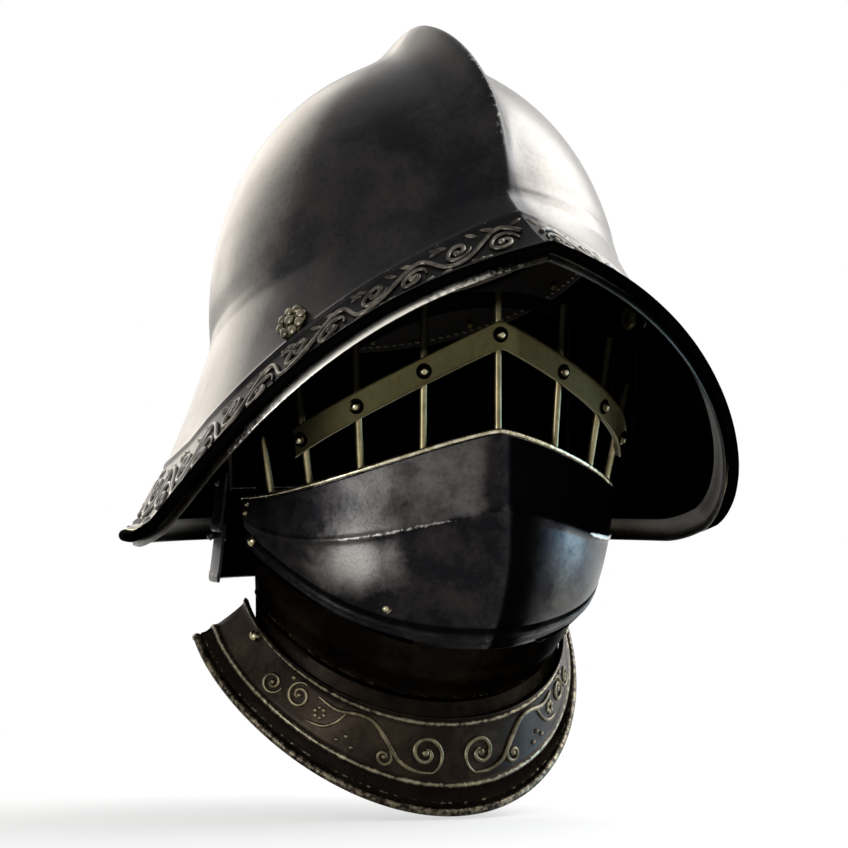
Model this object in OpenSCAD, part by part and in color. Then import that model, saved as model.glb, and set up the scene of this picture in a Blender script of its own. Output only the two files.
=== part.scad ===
// Closed burgonet helmet: combed skull, flared brim, barred face grille,
// pivoted bevor with collar and gorget plate, and a lamed nape guard.
// Millimetres. +Z is up, the face looks along -Y, +X is the wearer's left.

/* [Skull] */
// Half width of the skull bowl, outside
skull_half_w = 103; // [98:0.5:108]
// Half length of the skull bowl, outside
skull_half_l = 122; // [117:0.5:127]
// Height of the crown over the widest line
crown_h = 130; // [120:1:140]
// Height of the skull's widest line
waist_z = 60; // [57:1:63]
// How far the skull's centre lies behind the origin
skull_back = 5; // [3:0.5:7]
// Thickness of the skull plate
skull_t = 1.8; // [1.4:0.1:2.4]
// Height of the comb over the crown
comb_h = 18.5; // [12:0.5:24]
// Half width of the comb at its root
comb_w = 12; // [9:0.5:14]

/* [Brim] */
// Height of the brim's root at the brow
root_front_z = 124; // [121:0.5:127]
// Height of the brim's root at the back
root_rear_z = 30; // [26:1:36]
// Half width of the brim
brim_half_w = 155.5; // [152:0.5:160]
// How far in front of the origin the brim is widest
brim_center = 27; // [22:1:32]
// Reach of the brim's edge from its widest part to the front, without its point
brim_front = 103; // [99:1:107]
// Length of the point at the front
brim_point = 28; // [22:1:32]
// Reach of the brim's edge from its widest part to the back
brim_rear = 166; // [160:1:172]
// Height of the brim's edge at the sides and the back
brim_low_z = -50; // [-54:1:-46]
// Height of the edge at the front's point
brim_tip_z = 92; // [88:1:96]
// Thickness of the brim plate
brim_t = 1.6; // [1.3:0.1:2]
// Radius of the rolled edge
roll_r = 2.8; // [2.2:0.1:3.4]
// Width of the turned band inside the edge
turn_w = 9; // [6:0.5:12]

/* [Face grille] */
// Number of bars on each side of the middle one
side_bars = 4; // [3:1:4]
// Angle between the two middle bars
bar_step = 20.4; // [19.8:0.1:20.8]
// Radius of a bar
bar_r = 1.9; // [1.5:0.1:2.2]
// Width of the cross-band
band_w = 14.5; // [11:0.5:16]
// Thickness of the cross-band and the brow rail
band_t = 1.4; // [1.1:0.1:1.8]
// Width of the brow rail
rail_w = 8; // [6:0.5:10]
// Reach of the middle bar from the origin
grille_front = 97.9; // [97.4:0.1:98.2]

/* [Pivots] */
// How far forward the pivots lie
pivot_y = 66; // [64:0.5:68]
// Height of the pivots
pivot_z = 57; // [55:0.5:59]
// Radius of a pivot bolt
pivot_r = 3; // [2.5:0.1:3.5]
// Radius of a rosette head
rosette_r = 9.5; // [8:0.5:11]
// Clearance round the pivot bolt
pivot_fit = 0.06; // [0.02:0.01:0.09]

/* [Bevor] */
// Half width of the bevor
bevor_half_w = 100; // [98:0.5:102]
// Reach of the bevor at the front, without its keel
bevor_front = 92; // [91:0.5:95]
// Height of the keel over the front
keel_h = 10; // [8:0.5:12]
// Thickness of the bevor plate
bevor_t = 1.6; // [1.3:0.1:2]
// Depth of the bevor at the front
bevor_depth = 110; // [106:1:114]
// Depth of the bevor at its rear ends
bevor_rear_depth = 22; // [20:1:30]
// How far the rear ends lie below the front of the upper edge
bevor_drop = 36; // [33:1:38]

/* [Collar and gorget] */
// Thickness of the collar, gorget and nape lames
lame_t = 1.4; // [1.2:0.1:1.8]
// Half width of the neck ring
neck_half_w = 84; // [81:0.5:87]
// Reach of the neck ring in front of its centre
neck_front = 62; // [58:0.5:65]
// How far the neck ring's centre lies behind the origin
neck_back = 19; // [16:0.5:22]
// Height of the neck ring at the front
neck_front_z = -146; // [-150:1:-144]
// Height of the neck ring at its rear ends
neck_rear_z = -90; // [-94:1:-86]
// Length of the gorget plate at the front
bib_h = 44; // [40:1:48]
// Radius of the gorget's rolled edge
bib_roll_r = 2.2; // [1.8:0.1:2.6]

/* [Nape] */
// Half width of the upper nape lame
nape_half_w = 99; // [96:0.5:102]
// Depth of a nape lame
nape_h = 30; // [26:1:34]
// Flare of the nape lames from top to bottom
nape_flare = 7; // [4:0.5:9]

/* [Lining] */
// Thickness of the quilted lining
lining_t = 9; // [6:0.5:11]
// Number of quilted gores
gores = 8; // [6:1:10]
// Width of the leather lining band
leather_w = 24; // [18:1:28]

/* [Hidden] */
steel = [0.16, 0.15, 0.14];
russet = [0.2, 0.16, 0.13];
gilt = [0.55, 0.47, 0.25];
hide = [0.33, 0.22, 0.14];
cloth = [0.5, 0.45, 0.36];
// Clear gap between plates that lie on each other
seat = 0.3;
// Rows of points round the skull and the brim
around = 60;

// Skull and brim: the skull's lower edge stands just clear of the brim's shoulder,
// and the brim's flange stands up inside that edge.
comb_crowd = 20;
brim_crowd = 7;
rim_gap = 1.6;
flange_h = 9;
flange_gap = 0.75;
brow_peak = 14;
band_sheet = 1.2;

// Bevor, its edge bead and the turning pin
bevor_top_z = -1.5;
bevor_end = 88;
trim_r = 1.2;
pin_a = -34;
pin_z = -88;
pin_r = 1.6;
pin_collar_r = 2.7;
pin_knob_r = 1.9;
pin_key = [6.8, 2.2, 1.2];

// Bevor arms: the foot's place, and how far the arm bulges out and then stands in from the side
arm_w = 15;
arm_t = 1.6;
arm_foot_y = -8;
arm_foot_z = -44;
arm_top_in = 6.5;
arm_bulge = 4.2;
arm_foot_in = 5.4;
arm_disc_r = arm_w / 2 + 0.6;
arm_disc_h = 1.9;
arm_rivet_head = 2;

// Grille: bars are held behind the bevor's edge and lean out towards their tops
bar_tuck = 8;
bar_gap = 0.15;
band_rivet_r = 2.8;
visor_arm_w = 8;
visor_arm_t = 1.4;
visor_disc_r = 7;
visor_disc_h = 1.6;
visor_arm_x = bevor_half_w - arm_top_in - arm_t - seat;
visor_foot_in = 4.4;

// Pivots: bolts along X through the arms and lugs, and where the rosettes stand on the brim
pivot_brim_a = 55;
pivot_brim_s = 0.44;
rosette_lift = 0.6;
lug_x = bevor_half_w - arm_top_in + seat;
lug_r = 5;
// How far the lug ends short of the rosette's foot, along X
lug_short = 5.14;
nut_r = 6;
nut_h = 2.8;

// Collar and gorget with the rivets that they tilt on
collar_end = 87;
neck_wall = 8;
gorget_end = 94;
gorget_half_w = 104;
collar_pivot = [0, -12, -56];
gorget_pivot = [0, 9, -105];
rivet_r = 1.6;
rivet_head_r = 3;

// Nape plate and lames
nape_start = 98;
nape_extra = skull_half_l - 105;
nape_upper_gap = -1.5;
nape_lower_gap = 3;
nape_pivot_upper = [0, 34, -26];
nape_pivot_lower = [0, 36, -54];
nape_upper_z = -22;
nape_overlap = 4;
nape_inner = nape_half_w - lame_t - 2 * seat;
nape_lower_w = nape_half_w + nape_flare / 2 - lame_t - 3 * seat;

// Lining
band_low = flange_h + 1.5;
leather_t = 2;
lining_rivet_r = 2.6;
lining_rivets_n = 12;

function unit(v) = v / norm(v);
function mix(a, b, s) = a + (b - a) * s;
function step01(a, b, x) = let(s = min(1, max(0, (x - a) / (b - a)))) s * s * (3 - 2 * s);
function spow(v, p) = sign(v) * pow(abs(v), p);

// Plan of a plate: a superellipse whose front half ends in a keeled point.
function plan(half_w, front, rear, point, a, n = 2.2) = let(
        x = half_w * spow(sin(a), 2 / n),
        c = spow(cos(a), 2 / n))
    [x, (c > 0 ? -front * c - point * pow(1 - abs(x) / half_w, 2) : -rear * c), 0];

// Normal of a grid of points at one of them.
function grid_normal(g, i, j, closed) = let(
        n = len(g), m = len(g[0]),
        i0 = closed ? (i + n - 1) % n : max(0, i - 1),
        i1 = closed ? (i + 1) % n : min(n - 1, i + 1),
        j0 = max(0, j - 1), j1 = min(m - 1, j + 1))
    unit(cross(g[i1][j] - g[i0][j], g[i][j1] - g[i][j0]));
// A grid moved along its normals.
function shifted(g, d, closed) = [for (i = [0:len(g) - 1]) [for (j = [0:len(g[0]) - 1])
    g[i][j] + d * grid_normal(g, i, j, closed)]];

// Closed solid between two grids of points; rows run round, columns run from edge to edge.
module between(outer, inner, closed = false, pole = false) {
    n = len(outer);
    m = len(outer[0]);
    k = n * m;
    points = concat([for (r = outer) each r], [for (r = inner) each r],
        pole ? [mean([for (r = outer) r[m - 1]]), mean([for (r = inner) r[m - 1]])] : []);
    span = closed ? n - 1 : n - 2;
    faces = [for (i = [0:span]) let(i2 = (i + 1) % n) each concat(
        [for (j = [0:m - 2]) let(
                a = i * m + j, b = i * m + j + 1, c = i2 * m + j + 1, d = i2 * m + j)
            each [[a, b, c], [a, c, d], [k + c, k + b, k + a], [k + d, k + c, k + a]]],
        let(a = i * m, d = i2 * m) [[a, d, k + d], [a, k + d, k + a]],
        let(a = i * m + m - 1, d = i2 * m + m - 1)
            pole ? [[a, 2 * k, d], [k + d, 2 * k + 1, k + a]] : [[d, a, k + a], [d, k + a, k + d]])];
    ends = closed ? [] : [for (j = [0:m - 2]) let(a = j, e = (n - 1) * m + j) each [
        [a + 1, a, k + a], [a + 1, k + a, k + a + 1],
        [e, e + 1, k + e + 1], [e, k + e + 1, k + e]]];
    polyhedron(points, concat(faces, ends), convexity = 8);
}
function mean(v) = [for (c = [0:2]) sum([for (p = v) p[c]]) / len(v)];
function sum(v, i = 0) = i == len(v) ? 0 : v[i] + sum(v, i + 1);

// Plate of thickness t behind a grid, or in front of it where t is negative.
module plate(outer, t, closed = false) {
    if (t > 0) between(outer, shifted(outer, -t, closed), closed);
    else between(shifted(outer, -t, closed), outer, closed);
}

// Bead of radius r swept along a path.
module bead(path, r, closed = false, sides = 6) {
    n = len(path);
    rings = [for (i = [0:n - 1]) let(
            p0 = path[closed ? (i + n - 1) % n : max(0, i - 1)],
            p1 = path[closed ? (i + 1) % n : min(n - 1, i + 1)],
            t = unit(p1 - p0), s = unit(cross(t, [0, 0, 1])), u = cross(s, t))
        [for (q = [0:sides - 1]) let(turn = q * 360 / sides) path[i] + r * (cos(turn) * s + sin(turn) * u)]];
    span = closed ? n - 1 : n - 2;
    points = concat([for (g = rings) each g], closed ? [] : [path[0], path[n - 1]]);
    k = n * sides;
    faces = concat(
        [for (i = [0:span]) let(i2 = (i + 1) % n) for (q = [0:sides - 1]) let(
                q2 = (q + 1) % sides, a = i * sides + q, b = i * sides + q2,
                c = i2 * sides + q2, d = i2 * sides + q)
            each [[a, c, b], [a, d, c]]],
        closed ? [] : [for (q = [0:sides - 1]) let(q2 = (q + 1) % sides)
            each [[q, q2, k], [k - sides + q2, k - sides + q, k + 1]]]);
    polyhedron(points, faces, convexity = 8);
}

// Both sides of a piece that is modelled on the wearer's left.
module pair() {
    children();
    mirror([1, 0, 0]) children();
}
// Turns a child's +Z onto a direction.
module aim(p, d) {
    u = unit(d);
    translate(p) rotate([0, acos(u[2]), atan2(u[1], u[0])]) children();
}

// Skull: longitudes a run from the front, heights s from the root to the crown.
function root_z(a) = let(c = (1 + cos(a)) / 2) mix(root_rear_z, root_front_z, pow(c, 1.35))
    + 6 * sin(a) * sin(a);
function skull_angle(z) = asin(max(-0.98, min(0.999, (z - waist_z) / crown_h)));
function comb_rise(m) = step01(16, 50, m) * (1 - 0.68 * step01(84, 116, m))
    * (1 - 0.6 * step01(120, 175, m));
function skull_point(a, e, inset) = let(
        c = e < 0 ? 1 - 0.02 * pow(sin(e) * 4, 2) : cos(e),
        p = [(skull_half_w - inset) * c * sin(a), -(skull_half_l - inset) * c * cos(a),
            (crown_h - inset) * sin(e)],
        m = atan2(sin(e), c * cos(a)),
        w = (comb_w - inset) * (0.6 + 0.4 * sin(min(90, max(0, m)))),
        h = (comb_h - inset * 0.6) * comb_rise(m) * pow(1 + pow(p[0] / w, 2), -1.6),
        d = unit([0, p[1] / skull_half_l, p[2] / crown_h + 0.0001]))
    p + h * d + [0, skull_back, waist_z];
// Longitudes crowd where the comb runs.
function longitude(i, crowd = comb_crowd) = let(u = i / around * 360)
    u - crowd * sin(2 * u) + crowd / 7 * sin(4 * u);
function skull_rows(inset, n = 15) = [for (i = [0:around - 1]) let(
        a = longitude(i), e0 = skull_angle(root_z(a) + rim_gap))
    [for (j = [0:n - 1]) skull_point(a, mix(e0, 87.5, 1 - pow(1 - j / (n - 1), 1.1)), inset)]];
module skull() {
    color(steel) between(skull_rows(0), skull_rows(skull_t), true, true);
}

// Edge of the brim at a longitude, and the plate's flare between root and edge.
function brim_edge(a) = let(p = plan(brim_half_w, brim_front, brim_rear, brim_point, a, 2.15),
        c = max(0, cos(a * 0.88)))
    [p[0], p[1] - brim_center, brim_low_z + (brim_tip_z - brim_low_z - brow_peak) * pow(c, 1.8)
        + brow_peak * pow(1 - abs(p[0]) / brim_half_w, 3) * (abs(a) < 90 ? 1 : 0)];
function fold180(a) = let(b = ((a % 360) + 360) % 360) b > 180 ? b - 360 : b;
function brim_point_at(a, s) = let(
        b = fold180(a), r = skull_point(a, skull_angle(root_z(a)), 0), e = brim_edge(b))
    [mix(r[0], e[0], s), mix(r[1], e[1], s), mix(r[2], e[2], 1 - pow(1 - s, 1.3))];
function brim_row() = [for (i = [0:around - 1]) let(a = longitude(i, brim_crowd)) concat(
    [skull_point(a, skull_angle(root_z(a) + flange_h), skull_t + flange_gap),
     skull_point(a, skull_angle(root_z(a) + 1), skull_t + flange_gap)],
    [for (j = [0:5]) brim_point_at(a, 0.02 + 0.98 * j / 5) - [0, 0, 1]])];
module brim() {
    color(steel) plate([for (r = brim_row()) [for (j = [len(r) - 1:-1:0]) r[j]]], brim_t, true);
}
// Points round the brim's edge, moved out along the plate and down from it.
function brim_lip(out, down) = [for (i = [0:around - 1]) let(
        a = longitude(i, brim_crowd), e = brim_point_at(a, 1),
        d = unit(e - brim_point_at(a, 0.9)), t = brim_point_at(a + 1, 1) - brim_point_at(a - 1, 1),
        n = unit(cross(t, -d)))
    e + out * d - down * n - [0, 0, 1]];
module brim_roll() {
    color(russet) bead(brim_lip(roll_r + seat, brim_t / 2), roll_r, true);
}
module brim_turned_band() {
    top = brim_t + seat;
    low = top + band_sheet;
    rows = function(down) let(edge = brim_lip(-seat, down), inside = brim_lip(-turn_w, down))
        [for (i = [0:around - 1]) [edge[i], inside[i]]];
    color(gilt) between(rows(top), rows(low), true);
}

// Bevor: an envelope that narrows downwards, cut by an upper and a lower edge line.
function face_w(z) = 1 - pow(max(0, -27 - z) / 147, 2.15);
function face_l(z) = 1 - pow(max(0, -40 - z) / 113, 3);
function edge_z(a) = bevor_top_z - (bevor_drop - 2) * pow(sin(abs(a)), 1.15);
function hem_z(a) = mix(-bevor_depth, -bevor_drop - bevor_rear_depth, pow(1 - cos(a), 1.15));
function face_point(a, z, inset) = let(
        p = plan(bevor_half_w - inset, bevor_front - inset, bevor_half_w, keel_h, a),
        swell = 1.6 * step01(-34 - abs(a) / 4, -42 - abs(a) / 4, z) * cos(a) * cos(a))
    [p[0] * face_w(z), p[1] * face_l(z) - swell * cos(a), z];
function fan(n, end) = [for (i = [0:n]) -end + 2 * end * i / n];
function bevor_grid() = [for (a = fan(36, bevor_end)) [for (j = [0:11])
    face_point(a, mix(edge_z(a), hem_z(a), j / 11), 0)]];
pin_p = face_point(pin_a, pin_z, 0);
pin_n = unit(cross(face_point(pin_a + 1, pin_z, 0) - face_point(pin_a - 1, pin_z, 0),
    face_point(pin_a, pin_z + 1, 0) - face_point(pin_a, pin_z - 1, 0)));
module bevor() {
    color(steel) difference() {
        plate([for (r = bevor_grid()) [for (j = [len(r) - 1:-1:0]) r[j]]], bevor_t);
        aim(pin_p - 5 * pin_n, pin_n) cylinder(r = pin_r + pivot_fit, h = 10, $fn = 32);
        side_hole(collar_pivot);
    }
}
module bevor_edge_trim() {
    path = [for (a = fan(36, bevor_end)) face_point(a, edge_z(a), bevor_t / 2) + [0, 0, trim_r + 0.1]];
    color(gilt) bead(path, trim_r);
}
module turning_pin() {
    color(gilt) aim(pin_p, pin_n) {
        translate([0, 0, -bevor_t - 1.6]) cylinder(r = pin_r, h = bevor_t + 2.2, $fn = 32);
        translate([0, 0, 0.4]) cylinder(r = pin_collar_r, h = 1, $fn = 32);
        translate([0, 0, 1.4]) sphere(r = pin_knob_r, $fn = 32);
        translate([-pin_key[0] / 2, -pin_key[1] / 2, -bevor_t - 1.6]) cube(pin_key);
    }
}

// Bevor arms run down from the pivots, outside the bars, and pass inside the bevor's rear corners.
function bevor_arm_point(t) = [
    bevor_half_w - arm_top_in + (arm_top_in + arm_bulge) * step01(0.02, 0.62, t)
        - (arm_bulge + arm_foot_in) * step01(0.65, 0.85, t),
    mix(-pivot_y, arm_foot_y, t), mix(pivot_z, arm_foot_z, t)];
arm_dir = unit([0, pivot_y + arm_foot_y, arm_foot_z - pivot_z]);
arm_side = [0, -arm_dir[2], arm_dir[1]];
module pivot_bore() {
    translate([80, -pivot_y, pivot_z]) rotate([0, 90, 0])
        cylinder(r = pivot_r + pivot_fit, h = 30, $fn = 48);
}
module bevor_arm() {
    difference() {
        union() {
            plate([for (i = [0:16]) let(t = i / 16, w = arm_w / 2 * (1 - 0.3 * step01(0.5, 0.8, t)))
                [for (k = [-1, 0, 1]) bevor_arm_point(t) + k * w * arm_side]], arm_t);
            translate(bevor_arm_point(0) - [1.75, 0, 0]) rotate([0, 90, 0])
                cylinder(r = arm_disc_r, h = arm_disc_h, $fn = 48);
        }
        pivot_bore();
    }
}
module bevor_arms() {
    color(steel) pair() bevor_arm();
}
module bevor_arm_rivets() {
    x_in = bevor_half_w - arm_foot_in - arm_t - 0.1;
    x_out = bevor_half_w - 0.3;
    color(gilt) for (t = [0.94, 0.985])
        side_rivets(bevor_arm_point(t) + [0, 0, 1], x_in, x_out, arm_rivet_head);
}

// Grille: the bars' feet, angles, lean and direction.
function bar_edge(a) = let(
        w = bevor_half_w - bevor_t / 2 - trim_r - bar_r - 0.2,
        p = plan(w, grille_front - keel_h, bevor_half_w, keel_h, a))
    [p[0], p[1], edge_z(a)];
function bar_a(i) = i * (bar_step - 0.5 * abs(i));
function bar_lean(a) = min(12.5, 0.26 * abs(a));
function bar_dir(a) = [sin(a) * sin(bar_lean(a)), -cos(a) * sin(bar_lean(a)), cos(bar_lean(a))];
function bar_at(a, z) = let(f = bar_edge(a), d = bar_dir(a)) f + d * (z - f[2]) / d[2];
function rail_z(a) = -25 + 90 * pow(cos(min(90, abs(a) * 1.08)), 0.95);
function band_z(a) = 47.5 - 0.92 * abs(a);
// Inner side of a strip that runs across the bars; zf gives the height of its middle.
function strip_at(a, inset, zf) = bar_at(a, zf(a)) + inset * [sin(a), -cos(a), 0];
module strip(a_end, n, inset, width, zf) {
    rows = [for (a = fan(n, a_end)) let(d = bar_dir(a), p = strip_at(a, inset, zf))
        [p - d * width / 2, p + d * width / 2]];
    plate(rows, -band_t);
}
module brow_rail() {
    inset = -bar_r - band_t - bar_gap;
    color(steel) strip(bar_a(side_bars) + 1.5, 26, inset, rail_w, function(a) rail_z(a));
}
module cross_band() {
    color(gilt) strip(bar_a(3) + 2.2, 24, bar_r + bar_gap, band_w, function(a) band_z(a));
}
module grille_bars() {
    color(gilt) for (i = [-side_bars:side_bars]) {
        a = bar_a(i);
        f = bar_at(a, edge_z(a) - bar_tuck);
        top = bar_at(a, rail_z(a) + rail_w / 2);
        aim(f, top - f) cylinder(r = bar_r, h = norm(top - f), $fn = 32);
    }
}
module band_rivets() {
    outside = bar_r + bar_gap + band_t;
    zf = function(a) band_z(a);
    color(gilt) for (i = [-3:3]) {
        a = bar_a(i);
        n = unit(cross(strip_at(a + 2, outside, zf) - strip_at(a - 2, outside, zf), bar_dir(a)));
        aim(strip_at(a, outside, zf) + seat * n, n) intersection() {
            translate([0, 0, -0.6]) sphere(r = band_rivet_r, $fn = 24);
            cylinder(r = 4, h = 4);
        }
    }
}
module visor_arm() {
    end = bar_at(bar_a(3), rail_z(bar_a(3)));
    foot = [end[0] - bar_r - 2 * band_t - visor_foot_in, end[1], end[2]];
    top = [visor_arm_x, -pivot_y, pivot_z];
    difference() {
        union() {
            plate([for (t = [0:0.1:1]) let(p = [mix(top[0], foot[0], step01(0.14, 0.9, t)),
                    mix(top[1], foot[1], t), mix(top[2], foot[2], t)])
                [for (k = [-1, 0, 1]) p + k * [0, visor_arm_w / 2, 0]]], visor_arm_t);
            translate(top - [1.55, 0, 0]) rotate([0, 90, 0])
                cylinder(r = visor_disc_r, h = visor_disc_h, $fn = 48);
        }
        pivot_bore();
    }
}
module visor_arms() {
    color(steel) pair() visor_arm();
}

// Pivots: a rosette-headed rivet holds a lug under the brim; its bolt carries both arms.
rosette_p = brim_point_at(pivot_brim_a, pivot_brim_s) - [0, 0, 1];
rosette_n = unit(cross(
    brim_point_at(pivot_brim_a, pivot_brim_s + 0.09) - brim_point_at(pivot_brim_a, pivot_brim_s - 0.09),
    brim_point_at(pivot_brim_a + 3, pivot_brim_s) - brim_point_at(pivot_brim_a - 3, pivot_brim_s)));
lug_l = rosette_p[0] - lug_x - lug_short;
module rosette() {
    aim(rosette_p + rosette_lift * rosette_n, rosette_n) {
        cylinder(r = rosette_r * 0.72, h = 1.4, $fn = 48);
        for (q = [0:7]) rotate([0, 0, q * 45]) translate([rosette_r * 0.7, 0, 1]) intersection() {
            sphere(r = rosette_r * 0.3, $fn = 24);
            cylinder(r = 6, h = 6);
        }
        intersection() {
            translate([0, 0, 1]) sphere(r = rosette_r * 0.3, $fn = 24);
            cylinder(r = 6, h = 6);
        }
    }
}
module rosettes() {
    color(gilt) pair() rosette();
}
module pivot_lugs() {
    color(steel) pair() translate([lug_x, -pivot_y, pivot_z]) rotate([0, 90, 0]) difference() {
        cylinder(r = lug_r, h = lug_l);
        translate([0, 0, -1]) cylinder(r = pivot_r + pivot_fit, h = lug_l + 2, $fn = 48);
    }
}
module pivot_bolts() {
    color(steel) pair() translate([visor_arm_x - 5, -pivot_y, pivot_z]) rotate([0, 90, 0])
        cylinder(r = pivot_r, h = lug_x + lug_l - visor_arm_x + 5, $fn = 48);
}
module pivot_nuts() {
    nut_x = visor_arm_x - visor_arm_t - seat - nut_h;
    color(gilt) pair() translate([nut_x, -pivot_y, pivot_z]) rotate([0, 90, 0]) difference() {
        cylinder(r = nut_r, h = nut_h, $fn = 6);
        translate([0, 0, -1]) cylinder(r = pivot_r + pivot_fit, h = nut_h + 2, $fn = 48);
    }
}

// Collar lame: tucked inside the bevor's hem, drawn in to the neck ring.
function neck_point(a, out) = [(neck_half_w + out) * sin(a), neck_back - (neck_front + out) * cos(a),
    mix(neck_rear_z, neck_front_z, cos(a))];
module side_hole(p) {
    reach = nape_half_w + 31;
    translate([-reach, p[1], p[2]]) rotate([0, 90, 0])
        cylinder(r = rivet_r + pivot_fit, h = 2 * reach, $fn = 32);
}
// Section of the collar: foot, wall at the neck, slope up to the bevor and the part inside its hem.
function collar_section(a) = let(
        tuck = bevor_t + 2 * seat + 1.6 * cos(a), k = pow(sin(a), 4),
        ring = neck_point(a, 0), wall = ring + [0, 0, neck_wall], high = face_point(a, hem_z(a), tuck))
    [ring - [0, 0, 4 + 8 * k], wall, mix(wall, high, 0.5) - [0, 0, 2.5], high,
     face_point(a, hem_z(a) + 5 + 6 * k, tuck), face_point(a, hem_z(a) + 5.5 + 12 * k, tuck)];
module collar_lame() {
    color(russet) difference() {
        plate([for (a = fan(32, collar_end)) collar_section(a)], lame_t);
        side_hole(collar_pivot);
        side_hole(gorget_pivot);
    }
}
function gorget_edge(a) = [gorget_half_w * sin(a), 42 - 88 * spow(cos(a), 1.3),
    -106 - (bib_h + 42) * pow(max(0, cos(a)), 1.17)];
function gorget_rows() = [for (a = fan(36, gorget_end)) let(
        n = neck_point(a, lame_t + seat), e = gorget_edge(a))
    [for (j = [5:-1:0]) let(s = j / 5, w = pow(s, 1.2))
        [mix(n[0], e[0], w), mix(n[1], e[1], w), mix(n[2], e[2], s)]]];
module gorget_plate() {
    color(russet) difference() {
        plate(gorget_rows(), lame_t);
        side_hole(gorget_pivot);
    }
}
module gorget_roll() {
    path = [for (r = gorget_rows()) r[0] + (bib_roll_r + 0.2) * unit(r[0] - r[1])];
    color(russet) bead(path, bib_roll_r);
}
// Rivets through both sides, with a domed head outside and a flat one inside.
module side_rivets(p, x_in, x_out, head = rivet_head_r) {
    pair() translate([0, p[1], p[2]]) rotate([0, 90, 0]) {
        translate([0, 0, x_in - 1]) cylinder(r = rivet_r, h = x_out - x_in + 1.5, $fn = 32);
        translate([0, 0, x_in - 1]) cylinder(r = head, h = 1, $fn = 32);
        translate([0, 0, x_out]) intersection() {
            translate([0, 0, -1]) sphere(r = head, $fn = 32);
            cylinder(r = 4, h = 4);
        }
    }
}
module collar_rivets() {
    color(gilt) side_rivets(collar_pivot, bevor_half_w - 8.6, bevor_half_w - 2.7);
}
module gorget_rivets() {
    color(gilt) side_rivets(gorget_pivot, neck_half_w - 3.4, neck_half_w + 3.9);
}

// Nape: a fixed plate under the brim and two lames that slide up under each other.
function nape_angles(n = 28) = [for (i = [0:n]) nape_start + (360 - 2 * nape_start) * i / n];
function nape_point(a, w, gap, z) = [w * sin(a), skull_back - (w + nape_extra + gap * cos(a)) * cos(a), z];
function nape_rows(w, gap, z, n = 3) = [for (a = nape_angles())
    [for (j = [n:-1:0]) nape_point(a, w + nape_flare / 2 * j / n, gap, z - nape_h * j / n)]];
module nape_plate() {
    color(steel) difference() {
        plate([for (a = nape_angles()) let(
                t = skull_point(a, skull_angle(root_z(a) + 6), skull_t + flange_gap + brim_t + seat),
                b = nape_point(a, nape_inner, 0, nape_pivot_upper[2] - 5))
            [b, mix(b, t, 0.33), mix(b, t, 0.66), t]], lame_t);
        side_hole(nape_pivot_upper);
    }
}
module nape_upper_lame() {
    color(steel) difference() {
        plate(nape_rows(nape_half_w, nape_upper_gap, nape_upper_z), lame_t);
        side_hole(nape_pivot_upper);
        side_hole(nape_pivot_lower);
    }
}
module nape_lower_lame() {
    color(steel) difference() {
        plate(nape_rows(nape_lower_w, nape_lower_gap, nape_upper_z + nape_overlap - nape_h), lame_t);
        side_hole(nape_pivot_lower);
    }
}
module nape_upper_rivets() {
    color(steel) side_rivets(nape_pivot_upper, nape_half_w - 7.5, nape_half_w - 1.4);
}
module nape_lower_rivets() {
    color(steel) side_rivets(nape_pivot_lower, nape_half_w - 5, nape_half_w + 1.6);
}

// Lining: a leather band round the brow and a quilted crown of sewn gores.
function lining_point(a, e, inset) = [(skull_half_w - inset) * cos(e) * sin(a),
    skull_back - (skull_half_l - inset) * cos(e) * cos(a), waist_z + (crown_h - inset) * sin(e)];
function lining_start(a, up) = skull_angle(root_z(a) + band_low + up);
module lining_band() {
    rows = function(inset) [for (i = [0:around - 1]) let(a = longitude(i))
        [for (j = [0:2]) lining_point(a, lining_start(a, leather_w / 2 * j), inset)]];
    color(hide) between(rows(skull_t + seat), rows(skull_t + seat + leather_t), true);
}
function puff(a, s) = lining_t * (0.4 + 0.6 * sqrt(abs(sin(a * gores / 2))) * sin(mix(15, 150, s)));
module lining_quilt() {
    rows = function(swell) [for (i = [0:around - 1]) let(
            a = longitude(i), e0 = lining_start(a, leather_w + 2))
        [for (j = [0:6]) lining_point(a, mix(e0, 85, j / 6), skull_t + seat + swell * puff(a, j / 6))]];
    color(cloth) between(rows(0), rows(1), true, true);
}
module lining_rivets() {
    inside = skull_t + 4 * seat + leather_t;
    color(gilt) for (i = [0:lining_rivets_n - 1]) {
        a = (i + 0.5) * 360 / lining_rivets_n;
        e = lining_start(a, leather_w / 4);
        n = unit(cross(lining_point(a + 6, e, inside) - lining_point(a - 6, e, inside),
            lining_point(a, e - 2, inside) - lining_point(a, e + 2, inside)));
        aim(lining_point(a, e, inside), n) intersection() {
            translate([0, 0, -0.8]) sphere(r = lining_rivet_r, $fn = 24);
            cylinder(r = 3, h = 3);
        }
    }
}

skull();
brim();
brim_roll();
brim_turned_band();
rosettes();
pivot_lugs();
pivot_bolts();
pivot_nuts();
lining_band();
lining_quilt();
lining_rivets();
brow_rail();
cross_band();
grille_bars();
band_rivets();
visor_arms();
bevor();
bevor_edge_trim();
bevor_arms();
bevor_arm_rivets();
turning_pin();
collar_lame();
collar_rivets();
gorget_plate();
gorget_roll();
gorget_rivets();
nape_plate();
nape_upper_lame();
nape_lower_lame();
nape_upper_rivets();
nape_lower_rivets();
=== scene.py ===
"""Closed combed helmet with a pointed brim, a barred face, a keeled bevor and an embossed gorget.

Its pieces are dressed over the CAD frame. Sizes are in millimetres in the shape code, and turn to metres
when a mesh is made.
"""

import logging
import math
from dataclasses import dataclass, field
from enum import Enum
from typing import Callable

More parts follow.
